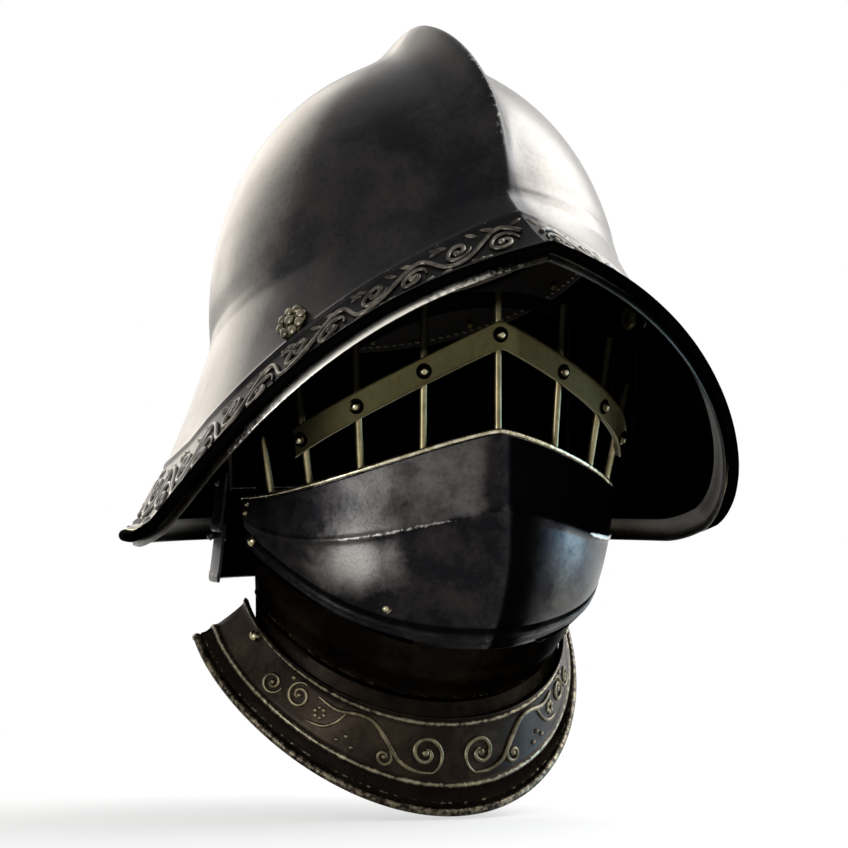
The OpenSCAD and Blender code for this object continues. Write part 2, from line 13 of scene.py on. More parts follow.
import bpy
import numpy as np
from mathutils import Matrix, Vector


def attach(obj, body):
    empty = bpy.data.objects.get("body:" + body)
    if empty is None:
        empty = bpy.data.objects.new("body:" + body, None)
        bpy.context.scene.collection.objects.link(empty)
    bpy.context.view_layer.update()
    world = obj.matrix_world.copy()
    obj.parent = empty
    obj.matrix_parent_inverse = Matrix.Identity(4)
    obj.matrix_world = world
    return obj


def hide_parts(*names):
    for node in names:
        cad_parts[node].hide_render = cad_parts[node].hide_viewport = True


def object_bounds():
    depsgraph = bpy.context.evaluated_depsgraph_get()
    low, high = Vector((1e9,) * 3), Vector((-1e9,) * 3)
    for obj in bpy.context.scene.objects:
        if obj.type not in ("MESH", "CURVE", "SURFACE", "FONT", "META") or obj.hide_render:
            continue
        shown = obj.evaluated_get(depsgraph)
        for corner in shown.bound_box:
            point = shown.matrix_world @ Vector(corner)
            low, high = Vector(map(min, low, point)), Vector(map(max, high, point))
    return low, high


LOG = logging.getLogger("helmet")
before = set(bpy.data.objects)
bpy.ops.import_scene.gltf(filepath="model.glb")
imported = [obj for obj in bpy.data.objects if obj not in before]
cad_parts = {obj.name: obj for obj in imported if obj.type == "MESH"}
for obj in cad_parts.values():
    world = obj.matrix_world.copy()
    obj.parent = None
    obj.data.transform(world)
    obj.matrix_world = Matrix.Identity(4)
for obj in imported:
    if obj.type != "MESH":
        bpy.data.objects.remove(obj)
CAD_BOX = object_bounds()
MM = 0.001
# Edges that turn by more degrees than these stay sharp, on plates, on repeated shapes and on swept lines.
SHARP_PLATE, SHARP_COPY, SHARP_LINE = 38.0, 40.0, 60.0
MATH, RANGE = "ShaderNodeMath", "ShaderNodeMapRange"

Tree = bpy.types.NodeTree
Node = bpy.types.Node
Socket = bpy.types.NodeSocket
Mesh = bpy.types.Mesh
Object = bpy.types.Object
Surface = Callable[[float, float], np.ndarray]
Place = tuple[np.ndarray, np.ndarray, np.ndarray]
Shape = tuple[np.ndarray, list]


def srgb(code: str) -> tuple[float, float, float, float]:
    """Turns an sRGB hex colour to linear RGBA."""
    values = [int(code[i:i + 2], 16) / 255 for i in (1, 3, 5)]
    return (*[v / 12.92 if v <= 0.04045 else ((v + 0.055) / 1.055) ** 2.4 for v in values], 1.0)


def add(tree: Tree, kind: str, links: dict | None = None, **settings: object) -> Node:
    """Adds a node with its settings, and sets or links its inputs.

    Args:
        tree: Node tree that gets the node.
        kind: Type of the node.
        links: Inputs by name or number: each a value, a hex colour, or the socket or node that feeds it.
        settings: Properties of the node itself.

    Returns:
        The new node.
    """
    node = tree.nodes.new(kind)
    for key, value in settings.items():
        setattr(node, key, value)
    for key, value in (links or {}).items():
        if isinstance(value, (Node, Socket)):
            tree.links.new(value.outputs[0] if isinstance(value, Node) else value, node.inputs[key])
        else:
            node.inputs[key].default_value = srgb(value) if str(value).startswith("#") else value
    return node


class Slot(Enum):
    """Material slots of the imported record."""

    STEEL = "blackened_steel"
    RUSSET = "russet_steel"
    GILT = "gilt_brass"
    HIDE = "leather"
    CLOTH = "linen"


@dataclass(frozen=True)
class Finish:
    """Surface of a real material, made once as a procedural material."""

    name: str

    def material(self) -> bpy.types.Material:
        """Gives the finish's material and makes it on first use.

        Returns:
            The material, with its relief in metres as a bump.
        """
        made = bpy.data.materials.get(self.name)
        if made is None:
            made = bpy.data.materials.new(self.name)
            made.use_nodes = True
            tree = made.node_tree
            tree.nodes.clear()
            inputs, height = self.shade(tree, add(tree, "ShaderNodeTexCoord").outputs["Object"])
            bump = add(tree, "ShaderNodeBump", {"Strength": 1.0, "Distance": 1.0, "Height": height})
            shader = add(tree, "ShaderNodeBsdfPrincipled", {**inputs, "Normal": bump})
            add(tree, "ShaderNodeOutputMaterial", {"Surface": shader})
        return made

    def shade(self, tree: Tree, place: Socket) -> tuple[dict[str, object], Node]:
        """Adds the finish's own nodes.

        Args:
            tree: The material's tree.
            place: Place in the piece's own space.

        Returns:
            The shader's inputs by name, and the height of the relief.
        """
        raise NotImplementedError


@dataclass(frozen=True)
class PatinatedMetal(Finish):
    """Sheet metal, hammered, planished and coloured, worn through where hands and cloth rub it, with painted
    sheen and shade.

    Attributes:
        ground: Colour of the patina.
        cloud: Colour of the patina's thinner, cloudy patches.
        bare: Colour of the metal where the patina is worn off.
        sheen_paint: Colour of the painted sheen, laid by the pale share where highlights fall.
        deep: Colour that settles in recesses, and that the depth share also lays as painted shade.
        roughness: Roughness of the polished parts.
        spread: How much rougher the dull parts are.
        cloud_mm: Size of the cloudy patches.
        fleck_mm: Size of the small flecks between them.
        pit_mm: Distance between pits.
        pit_depth_mm: Depth of the pits.
        dent_mm: Width of a hammer mark.
        dent_depth_mm: Depth of a hammer mark.
        cloudiness: Share of the surface with thin patina.
        streaks: Strength of the fine polishing lines.
        scratches: Strength of the pale hairline scratches.
        glancing: Colour that it reflects at a glancing angle.
        painted_shade_over: Height over which the metal is painted dark as shade, and its fall per millimetre
            to either side.
    """

    ground: str
    cloud: str
    bare: str
    deep: str
    sheen_paint: str = "#6f6c68"
    roughness: float = 0.3
    spread: float = 0.2
    cloud_mm: float = 42.0
    fleck_mm: float = 3.2
    pit_mm: float = 1.4
    pit_depth_mm: float = 0.05
    dent_mm: float = 26.0
    dent_depth_mm: float = 0.25
    cloudiness: float = 0.5
    streaks: float = 0.3
    scratches: float = 0.015
    painted_shade_over: tuple[float, float] | None = None
    glancing: str = "#ffffff"

    def shade(self, tree: Tree, place: Socket) -> tuple[dict[str, object], Node]:
        """Adds patina, rubbed places, specks, scratches, soot, bare metal and relief."""
        wear, depth, pale = (add(tree, "ShaderNodeAttribute", attribute_name=key).outputs["Fac"]
                             for key in ("wear", "depth", "pale"))
        hair, lines = (add(tree, "ShaderNodeMapping", {
            "Vector": place, "Rotation": turn, "Scale": (1.0, share, 1.0)})
            for turn, share in (((1.2, 0.3, 0.8), 0.012), ((0.5, 0.9, 0.3), 0.08)))
        clouds, flecks, pits, dents, scratch, streak = (add(tree, "ShaderNodeTexNoise", {
            "Vector": where, "Scale": 1 / (size_mm * MM), "Detail": detail, "Roughness": rough,
            "Distortion": distort}) for where, size_mm, detail, rough, distort in (
                (place, self.cloud_mm, 7.0, 0.62, 0.35), (place, self.fleck_mm, 5.0, 0.6, 0.2),
                (place, self.pit_mm, 3.0, 0.55, 0.0), (place, self.dent_mm, 1.0, 0.4, 0.0),
                (hair, self.fleck_mm * 0.4, 2.0, 0.4, 0.0), (lines, self.fleck_mm * 0.35, 2.0, 0.5, 0.0)))
        patch = add(tree, MATH, {0: clouds, 1: 0.86}, operation="MULTIPLY")
        patch = add(tree, MATH, {0: flecks, 1: 0.14, 2: patch}, operation="MULTIPLY_ADD")
        # Painted sheen and bare places break up along the noise, and fade out where their number falls to 0.
        broken = []
        for amount, noise, low, high, full in (
                (pale, patch, 0.65, 1.45, 0.25), (wear, flecks, 0.9, 1.3, 1 / 3)):
            edge = add(tree, MATH, {0: noise, 1: 1.1, 2: amount}, operation="MULTIPLY_ADD")
            edge = add(tree, RANGE, {"Value": edge, "From Min": low, "From Max": high})
            faded = add(tree, RANGE, {"Value": amount, "From Max": full})
            broken.append(add(tree, MATH, {0: edge, 1: faded}, operation="MULTIPLY"))
        thin = 0.5 - 0.16 * self.cloudiness
        thin = add(tree, RANGE, {"Value": patch, "From Min": thin, "From Max": thin + 0.34})
        speck = add(tree, RANGE, {
            "Value": flecks, "From Min": 0.34, "From Max": 0.5, "To Min": 0.14, "To Max": 0.0})
        scratch = add(tree, RANGE, {
            "Value": scratch, "From Min": 0.66, "From Max": 0.72, "To Max": self.scratches})
        # Painted shade: above a height, falling to either side, the metal takes the deep colour in place of
        # the depth share.
        if self.painted_shade_over:
            start, fall = self.painted_shade_over
            spot = add(tree, "ShaderNodeSeparateXYZ", {"Vector": place}).outputs
            beside = add(tree, MATH, {0: spot["X"]}, operation="ABSOLUTE")
            over = add(tree, MATH, {0: beside, 1: fall, 2: spot["Z"]}, operation="MULTIPLY_ADD")
            depth = add(tree, RANGE, {
                "Value": over, "From Min": (start + 2.5) * MM, "From Max": (start + 15) * MM})
        # The depth share lays the deep colour and dims the reflection: in recesses as patina, elsewhere as
        # painted shade. The pale share lays the painted sheen.
        color = self.ground
        for share, paint in ((thin, self.cloud), (broken[0], self.sheen_paint), (speck, self.deep),
                             (scratch, self.bare), (depth, self.deep), (broken[1], self.bare)):
            color = add(tree, "ShaderNodeMix", {0: share, 6: color, 7: paint}, data_type="RGBA").outputs[2]
        tint = add(tree, "ShaderNodeMix", {0: depth, 6: self.glancing, 7: self.deep},
                   data_type="RGBA").outputs[2]
        rough = add(tree, MATH, {0: patch, 1: self.spread * 2, 2: self.roughness - self.spread * 0.8},
                    operation="MULTIPLY_ADD")
        rough = add(tree, MATH, {0: depth, 1: 0.25, 2: rough}, operation="MULTIPLY_ADD", use_clamp=True)
        height = 0.0
        for layer, depth_mm in ((pits, self.pit_depth_mm), (dents, self.dent_depth_mm),
                                (streak, self.streaks * 0.04)):
            height = add(tree, MATH, {0: layer, 1: depth_mm * MM, 2: height}, operation="MULTIPLY_ADD")
        return {"Base Color": color, "Roughness": rough, "Metallic": 1.0, "Specular Tint": tint}, height


@dataclass(frozen=True)
class TannedLeather(Finish):
    """Vegetable-tanned hide: grained, darkened by handling and darker along the lines of its grain."""

    name: str = "leather_vegetable_tanned"
    hide: str = "#1a110b"
    dark: str = "#0c0704"
    grain_mm: float = 0.9
    grain_depth_mm: float = 0.12
    handling_mm: float = 22.0

    def shade(self, tree: Tree, place: Socket) -> tuple[dict[str, object], Node]:
        """Adds stains of handling, and grain in colour and relief."""
        grain = add(tree, "ShaderNodeTexVoronoi", {"Vector": place, "Scale": 1 / (self.grain_mm * MM)},
                    feature="DISTANCE_TO_EDGE")
        stain = add(tree, "ShaderNodeTexNoise", {
            "Vector": place, "Scale": 1 / (self.handling_mm * MM), "Detail": 5.0})
        lit = add(tree, RANGE, {"Value": stain, "From Min": 0.35, "From Max": 0.7})
        folds = add(tree, RANGE, {"Value": grain, "From Max": 0.12, "To Min": 0.6, "To Max": 0.0})
        color = self.dark
        for share, paint in ((lit, self.hide), (folds, self.dark)):
            color = add(tree, "ShaderNodeMix", {0: share, 6: color, 7: paint}, data_type="RGBA").outputs[2]
        height = add(tree, RANGE, {"Value": grain, "From Max": 0.3, "To Max": self.grain_depth_mm * MM})
        return {"Base Color": color, "Roughness": 0.55, "Specular IOR Level": 0.4}, height


@dataclass(frozen=True)
class WovenLinen(Finish):
    """Plain-weave linen of a quilted liner: visible threads, slubs and age stains."""

    name: str = "linen_plain_weave"
    thread: str = "#8d7f66"
    stain: str = "#4f4534"
    thread_mm: float = 1.1
    thread_depth_mm: float = 0.22
    stain_mm: float = 34.0

    def shade(self, tree: Tree, place: Socket) -> tuple[dict[str, object], Node]:
        """Adds crossing threads in colour and relief, and stains of age."""
        # Threads cross at one per millimetre, coarser than the cloth's own, so that they show.
        turns = math.pi / (self.thread_mm * MM) / 20
        waves = [add(tree, "ShaderNodeTexWave", {
            "Vector": place, "Scale": turns, "Distortion": 1.2, "Detail": 2.0},
            bands_direction=axis).outputs["Fac"] for axis in ("X", "Z")]
        weave = add(tree, MATH, {0: waves[0], 1: waves[1]}, operation="MAXIMUM")
        age = add(tree, "ShaderNodeTexNoise", {
            "Vector": place, "Scale": 1 / (self.stain_mm * MM), "Detail": 6.0})
        clean = add(tree, RANGE, {"Value": age, "From Min": 0.35, "From Max": 0.65})
        gaps = add(tree, RANGE, {"Value": weave, "To Min": 0.5, "To Max": 0.0})
        color = self.stain
        for share, paint in ((clean, self.thread), (gaps, self.stain)):
            color = add(tree, "ShaderNodeMix", {0: share, 6: color, 7: paint}, data_type="RGBA").outputs[2]
        height = add(tree, MATH, {0: weave, 1: self.thread_depth_mm * MM}, operation="MULTIPLY")
        return {"Base Color": color, "Roughness": 0.9, "Sheen Weight": 0.25}, height


# Forged steel, planished and blackened in oil: near black with grey clouds, and bright where it is rubbed.
BLACKENED = PatinatedMetal(
    "steel_forged_blackened", ground="#1a191b", cloud="#343230", bare="#c9c5bd", deep="#080808",
    roughness=0.33, spread=0.14, cloud_mm=46.0, cloudiness=0.6)
# The same steel on the face, dulled and pitted by handling.
HANDLED = PatinatedMetal(
    "steel_forged_blackened_handled", ground="#161517", cloud="#312e2c", bare="#c9c5bd", deep="#050505",
    roughness=0.34, cloud_mm=16.0, fleck_mm=2.4, pit_depth_mm=0.09, dent_depth_mm=0.3)
# The same steel on the inside, rough from the hammer and near black with a dimmed reflection: partly dark
# steel, partly painted shade.
# It also lies as painted shade on the brim's roll, the band's rivet rims, the brow rail and the arms.
DARK_AND_SHADE = PatinatedMetal(
    "steel_hammered_dark_and_shade", ground="#030303", cloud="#080807", bare="#24221f", deep="#010101",
    roughness=0.6, dent_depth_mm=0.5, glancing="#1c1c1c")
# Steel that was heated to a russet brown and waxed.
RUSSET = PatinatedMetal(
    "steel_russeted_waxed", ground="#1b1612", cloud="#3b3229", bare="#8f866f", deep="#080605",
    roughness=0.36, spread=0.18, cloud_mm=28.0)
# The collar's russet, painted darker as shade under the bevor, with a dimmed reflection; the bevor also keeps
# polish off it.
SHADED_RUSSET = PatinatedMetal(
    "steel_russeted_painted_shade", ground="#0e0b09", cloud="#221c16", bare="#6d6552", deep="#040302",
    roughness=0.36, spread=0.18, cloud_mm=28.0, glancing="#8a8a8a")
# Sheet brass with worn fire gilding, olive where it has tarnished.
GILT = PatinatedMetal(
    "brass_sheet_fire_gilt", ground="#454029", cloud="#625b3f", bare="#c9bf9c", deep="#14120b",
    roughness=0.36, spread=0.08, cloud_mm=60.0, dent_depth_mm=0.06, cloudiness=0.4)
# Bright worn brass of edges and rivet heads.
BRIGHT = PatinatedMetal(
    "brass_burnished", ground="#8d8468", cloud="#bdb394", bare="#efe8d2", deep="#4a442f",
    roughness=0.26, spread=0.1, cloud_mm=14.0, dent_depth_mm=0.04)
# Dark brass of the brim's lip, painted bright in one stretch as a highlight.
LIP = PatinatedMetal(
    "brass_turned_darkened", ground="#1d1b16", cloud="#37332a", bare="#f1ecdf", deep="#0a0907",
    roughness=0.3, spread=0.14, cloud_mm=20.0, dent_depth_mm=0.04)
# The same metals on raised ornament, worn nearly bare.
BLACKENED_WORN = PatinatedMetal(
    "steel_embossed_rubbed", ground="#35322e", cloud="#827b6f", bare="#d6d0c2", deep="#100f0d",
    roughness=0.32, spread=0.14, cloud_mm=10.0, dent_depth_mm=0.05)
RUSSET_WORN = PatinatedMetal(
    "steel_russeted_rubbed", ground="#4a4334", cloud="#8a7f66", bare="#c9c1a8", deep="#14110c",
    roughness=0.34, spread=0.14, cloud_mm=10.0, dent_depth_mm=0.05)
# Drawn brass rod of the bars, dull with handling, and painted dark as shade above the cross-band, under the
# brim.
BARS = PatinatedMetal(
    "brass_rod_drawn", ground="#6d644a", cloud="#9a8f6c", bare="#e3dabb", deep="#14120c",
    roughness=0.32, spread=0.12, cloud_mm=20.0, dent_depth_mm=0.02, streaks=0.6, painted_shade_over=(50.0, 0.65))
# Cast brass of the flower-headed rivets, grey-brown with age.
ROSETTE = PatinatedMetal(
    "brass_cast_tarnished", ground="#4c473a", cloud="#8a826f", bare="#d8d0bd", deep="#100e0a",
    roughness=0.3, spread=0.12, cloud_mm=9.0, dent_depth_mm=0.04)
# Polished dark brass of the rivets in the cross-band.
RIVET = PatinatedMetal(
    "brass_rivet_polished", ground="#2b2718", cloud="#4e4730", bare="#f3eedf", deep="#0c0a06",
    roughness=0.14, spread=0.04, cloud_mm=9.0, dent_depth_mm=0.01, pit_depth_mm=0.01)
LEATHER = TannedLeather()
LINEN = WovenLinen()


def mix(low: float, high: float, share: float) -> float:
    """Blends two numbers or two arrays by a share from 0 to 1, or by one for each axis."""
    return low + (high - low) * share


def ease(start: float, end: float, value: float) -> float:
    """Rises smoothly from 0 at start to 1 at end."""
    share = min(1.0, max(0.0, (value - start) / (end - start)))
    return share * share * (3 - 2 * share)


def sin(degrees: float) -> float:
    """Sine of an angle in degrees."""
    return math.sin(math.radians(degrees))


def cos(degrees: float) -> float:
    """Cosine of an angle in degrees."""
    return math.cos(math.radians(degrees))


def wrapped(angle: float) -> float:
    """Same angle between -180 and 180 degrees."""
    return (angle + 180) % 360 - 180


def bell(offset: float, width: float) -> float:
    """Falls off smoothly from 1 on both sides of an offset of 0; also takes arrays."""
    return np.exp(-(offset / width) ** 2)


def power(value: float, exponent: float) -> float:
    """Raises a size and keeps its sign."""
    return math.copysign(abs(value) ** exponent, value)


def unit(vector: np.ndarray) -> np.ndarray:
    """Scales a vector to length 1."""
    return vector / np.linalg.norm(vector)


def plan(half_w: float, front: float, rear: float, point: float, angle: float, bulge: float) -> np.ndarray:
    """Outline of a plate seen from above: a superellipse with a keeled point at the front.

    Args:
        half_w: Half width.
        front: Reach in front of the origin without the point.
        rear: Reach behind the origin.
        point: Length of the point.
        angle: Degrees from straight ahead, positive to the wearer's left.
        bulge: Exponent of the superellipse.

    Returns:
        The outline's point at that angle, with no height.
    """
    x = half_w * power(sin(angle), 2 / bulge)
    reach = power(cos(angle), 2 / bulge)
    keel = point * (1 - abs(x) / half_w) ** 2
    y = -front * reach - keel if reach > 0 else -rear * reach
    return np.array([x, y, 0.0])


@dataclass(frozen=True)
class HelmetShape:
    """Driving sizes of the helmet in millimetres, and the surfaces that follow from them."""

    skull_half_w: float = 103.0
    skull_half_l: float = 122.0
    crown_h: float = 130.0
    waist_z: float = 60.0
    skull_back: float = 5.0
    comb_h: float = 18.5
    comb_w: float = 12.0
    root_front_z: float = 124.0
    root_rear_z: float = 30.0
    brim_half_w: float = 155.5
    brim_center: float = 27.0
    brim_front: float = 103.0
    brim_point: float = 28.0
    brim_rear: float = 166.0
    brim_low_z: float = -50.0
    brim_tip_z: float = 92.0
    brow_peak: float = 14.0
    bevor_half_w: float = 100.0
    bevor_front: float = 92.0
    keel_h: float = 10.0
    bevor_depth: float = 110.0
    bevor_rear_depth: float = 22.0
    bevor_drop: float = 36.0
    bevor_top_z: float = -1.5
    grille_front: float = 97.9
    trim_r: float = 1.2
    neck_half_w: float = 84.0
    neck_front: float = 62.0
    neck_back: float = 19.0
    neck_front_z: float = -146.0
    neck_rear_z: float = -90.0
    bib_h: float = 44.0

    def root_z(self, angle: float) -> float:
        """Height of the line where the brim leaves the skull."""
        share = (1 + cos(angle)) / 2
        return mix(self.root_rear_z, self.root_front_z, share ** 1.35) + 6 * sin(angle) ** 2

    def crease_z(self, angle: float) -> float:
        """Height of the soft crease at which the brim begins to flare."""
        return self.root_z(angle) - 5.0 - 9.0 * (abs(sin(angle)) if cos(angle) > 0 else 1.0)

    def skull_angle(self, z: float) -> float:
        """Elevation on the skull's ellipsoid that has a given height."""
        return math.degrees(math.asin(max(-0.98, min(0.999, (z - self.waist_z) / self.crown_h))))

    def comb_rise(self, along: float) -> float:
        """Share of the comb's height, by the angle along the middle line from the brow to the nape."""
        hump = ease(16, 50, along) * (1 - 0.68 * ease(84, 116, along))
        return hump * (1 - ease(130, 179, along))

    def skull(self, angle: float, elevation: float, inset: float = 0.0) -> np.ndarray:
        """Point of the skull with its comb, moved inwards by an inset."""
        c = 1 - 0.02 * (sin(elevation) * 4) ** 2 if elevation < 0 else cos(elevation)
        p = np.array([
            (self.skull_half_w - inset) * c * sin(angle),
            -(self.skull_half_l - inset) * c * cos(angle),
            (self.crown_h - inset) * sin(elevation)])
        along = math.degrees(math.atan2(sin(elevation), c * cos(angle)))
        width = (self.comb_w - inset) * (0.6 + 0.4 * sin(min(90.0, max(0.0, along))))
        height = (self.comb_h - inset * 0.6) * self.comb_rise(along) * (1 + (p[0] / width) ** 2) ** -1.6
        out = unit(np.array([0.0, p[1] / self.skull_half_l, p[2] / self.crown_h + 0.0001]))
        return p + height * out + np.array([0.0, self.skull_back, self.waist_z])

    def brim_edge(self, angle: float) -> np.ndarray:
        """Point of the brim's outer edge."""
        p = plan(self.brim_half_w, self.brim_front, self.brim_rear, self.brim_point, angle, 2.15)
        rise = (self.brim_tip_z - self.brim_low_z - self.brow_peak) * max(0.0, cos(angle * 0.88)) ** 1.8
        tip = self.brow_peak * (1 - abs(p[0]) / self.brim_half_w) ** 3 if abs(angle) < 90 else 0.0
        return np.array([p[0], p[1] - self.brim_center, self.brim_low_z + rise + tip])

    def brim(self, angle: float, share: float) -> np.ndarray:
        """Point of the brim's upper side, from its root at share 0 to its edge at share 1.

        The plate goes on down the skull's side for a little and then flares, with a soft crease between.
        """
        angle = wrapped(angle)
        root, edge = self.root_z(angle), self.brim_edge(angle)
        z = mix(root, edge[2], 1 - power(1 - share, 1.3))
        waist = self.crease_z(angle)
        turn = self.skull(angle, self.skull_angle(waist))
        gone = (waist - z) / (waist - edge[2])
        soft = 0.035
        gone = 0.5 * (gone + math.sqrt(gone * gone + soft * soft)) - soft * soft / 4
        flare = 1 - power(1 - gone, 1 / 1.3)
        side = self.skull(angle, self.skull_angle(max(z, waist)))
        hug = ease(0.0, 10.0, z - waist)
        return np.array([mix(mix(turn[0], edge[0], flare), side[0], hug),
                         mix(mix(turn[1], edge[1], flare), side[1], hug), z - 1])

    def face_edge_z(self, angle: float) -> float:
        """Height of the bevor's upper edge."""
        return self.bevor_top_z - (self.bevor_drop - 2) * abs(sin(angle)) ** 1.15

    def face_hem_z(self, angle: float) -> float:
        """Height of the bevor's lower edge."""
        return mix(-self.bevor_depth, -self.bevor_drop - self.bevor_rear_depth, (1 - cos(angle)) ** 1.15)

    def face(self, angle: float, z: float, inset: float = 0.0) -> np.ndarray:
        """Point of the bevor's envelope at a height."""
        p = plan(self.bevor_half_w - inset, self.bevor_front - inset, 100, self.keel_h, angle, 2.2)
        narrow = 1 - (max(0.0, -27 - z) / 147) ** 2.15
        draw = 1 - (max(0.0, -40 - z) / 113) ** 3
        swell = 1.6 * (1 - ease(-42 - abs(angle) / 4, -34 - abs(angle) / 4, z)) * cos(angle) ** 2
        return np.array([p[0] * narrow, p[1] * draw - swell * cos(angle), z])

    def neck(self, angle: float, out: float = 0.0) -> np.ndarray:
        """Point of the neck ring."""
        return np.array([
            (self.neck_half_w + out) * sin(angle),
            self.neck_back - (self.neck_front + out) * cos(angle),
            mix(self.neck_rear_z, self.neck_front_z, cos(angle))])

    def gorget_edge(self, angle: float) -> np.ndarray:
        """Point of the gorget plate's outer edge."""
        return np.array([
            104 * sin(angle), 42 - 88 * power(cos(angle), 1.3),
            -106 - (self.bib_h + 42) * max(0.0, cos(angle)) ** 1.17])

    def gorget(self, angle: float, share: float) -> np.ndarray:
        """Point of the gorget plate, from the neck ring at share 0 to its edge at share 1."""
        n, e = self.neck(angle, 1.7), self.gorget_edge(angle)
        return mix(n, e, np.array([share ** 1.2, share ** 1.2, share]))


HELMET = HelmetShape()


def put_up(name: str, data: bpy.types.ID) -> Object:
    """Makes an object of its data and links it to the scene."""
    made = bpy.data.objects.new(name, data)
    bpy.context.scene.collection.objects.link(made)
    return made


def store(mesh: Mesh, key: str, values: np.ndarray) -> None:
    """Stores a number or a direction at each point of a mesh."""
    values = np.asarray(values, np.float32)
    kind, slot = ("FLOAT_VECTOR", "vector") if values.ndim == 2 else ("FLOAT", "value")
    mesh.attributes.new(key, kind, "POINT").data.foreach_set(slot, values.ravel())


def places_of(mesh: Mesh) -> np.ndarray:
    """Points of a mesh in metres, one row each."""
    found = np.empty(len(mesh.vertices) * 3)
    mesh.vertices.foreach_get("co", found)
    return found.reshape(-1, 3)


def smooth(mesh: Mesh, sharp: float) -> None:
    """Shades a mesh smooth but for the edges that turn by more degrees than sharp."""
    mesh.polygons.foreach_set("use_smooth", np.ones(len(mesh.polygons), bool))
    mesh.set_sharp_from_angle(angle=math.radians(sharp))


def kept(piece: Object) -> Mesh:
    """Mesh that an object's modifiers give, as data of its own."""
    bpy.context.view_layer.update()
    graph = bpy.context.evaluated_depsgraph_get()
    return bpy.data.meshes.new_from_object(piece.evaluated_get(graph), depsgraph=graph)


def finish_mesh(name: str, points: np.ndarray, faces: list, finish: Finish, inner: Finish | None = None,
                slots: np.ndarray | None = None, fields: dict[str, np.ndarray] | None = None) -> Object:
    """Makes an object from points in millimetres.

    Args:
        name: Name of the piece.
        points: Points, one row each.
        faces: Faces as rows of point numbers.
        finish: Finish of the faces.
        inner: Second finish, for faces whose slot is 1.
        slots: Slot of each face, where there are two finishes.
        fields: Numbers for each point, such as its wear.

    Returns:
        The object, at the origin.
    """
    mesh = bpy.data.meshes.new(name)
    mesh.from_pydata((np.asarray(points) * MM).tolist(), [], faces)
    mesh.materials.append(finish.material())
    if inner is not None:
        mesh.materials.append(inner.material())
        mesh.polygons.foreach_set("material_index", np.asarray(slots, np.int32))
    for key, values in (fields or {}).items():
        store(mesh, key, values)
    smooth(mesh, SHARP_PLATE)
    mesh.validate()
    mesh.update()
    return put_up(name, mesh)


def settle(piece: Object, body: str, slot: Slot, *nodes: str) -> None:
    """Puts a finished piece on its body and lets it stand for CAD nodes.

    Args:
        piece: Finished piece.
        body: CAD body that it moves with.
        slot: Slot of the record that it takes its finish from; not used.
        nodes: CAD nodes that it stands for.
    """
    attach(piece, body)
    if nodes:
        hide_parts(*nodes)
    LOG.info("%s: %d faces on %s", piece.name, len(piece.data.polygons), body)


def grid_normals(grid: np.ndarray, closed: bool) -> np.ndarray:
    """Normals of a grid of points; they point outwards where rows run towards +X and columns up."""
    if closed:
        along = np.roll(grid, -1, 0) - np.roll(grid, 1, 0)
    else:
        along = np.gradient(grid, axis=0)
    normal = np.cross(along, np.gradient(grid, axis=1))
    return normal / np.maximum(np.linalg.norm(normal, axis=2, keepdims=True), 1e-9)


def rim(outer: np.ndarray, inner: np.ndarray, beyond: np.ndarray, thickness: float) -> np.ndarray:
    """Rounded edge between the outer and the inner side of a plate.

    Args:
        outer: Points of the outer side along the edge.
        inner: Points of the inner side along the edge.
        beyond: Direction that points out of the plate at each of them.
        thickness: Thickness of the plate.

    Returns:
        Three rows of points, from the outer to the inner side.
    """
    middle = (outer + inner) / 2
    return np.stack([middle + math.cos(t) * (outer - middle) + math.sin(t) * thickness / 2 * beyond
                     for t in (math.pi / 4, math.pi / 2, math.pi * 3 / 4)], axis=1)


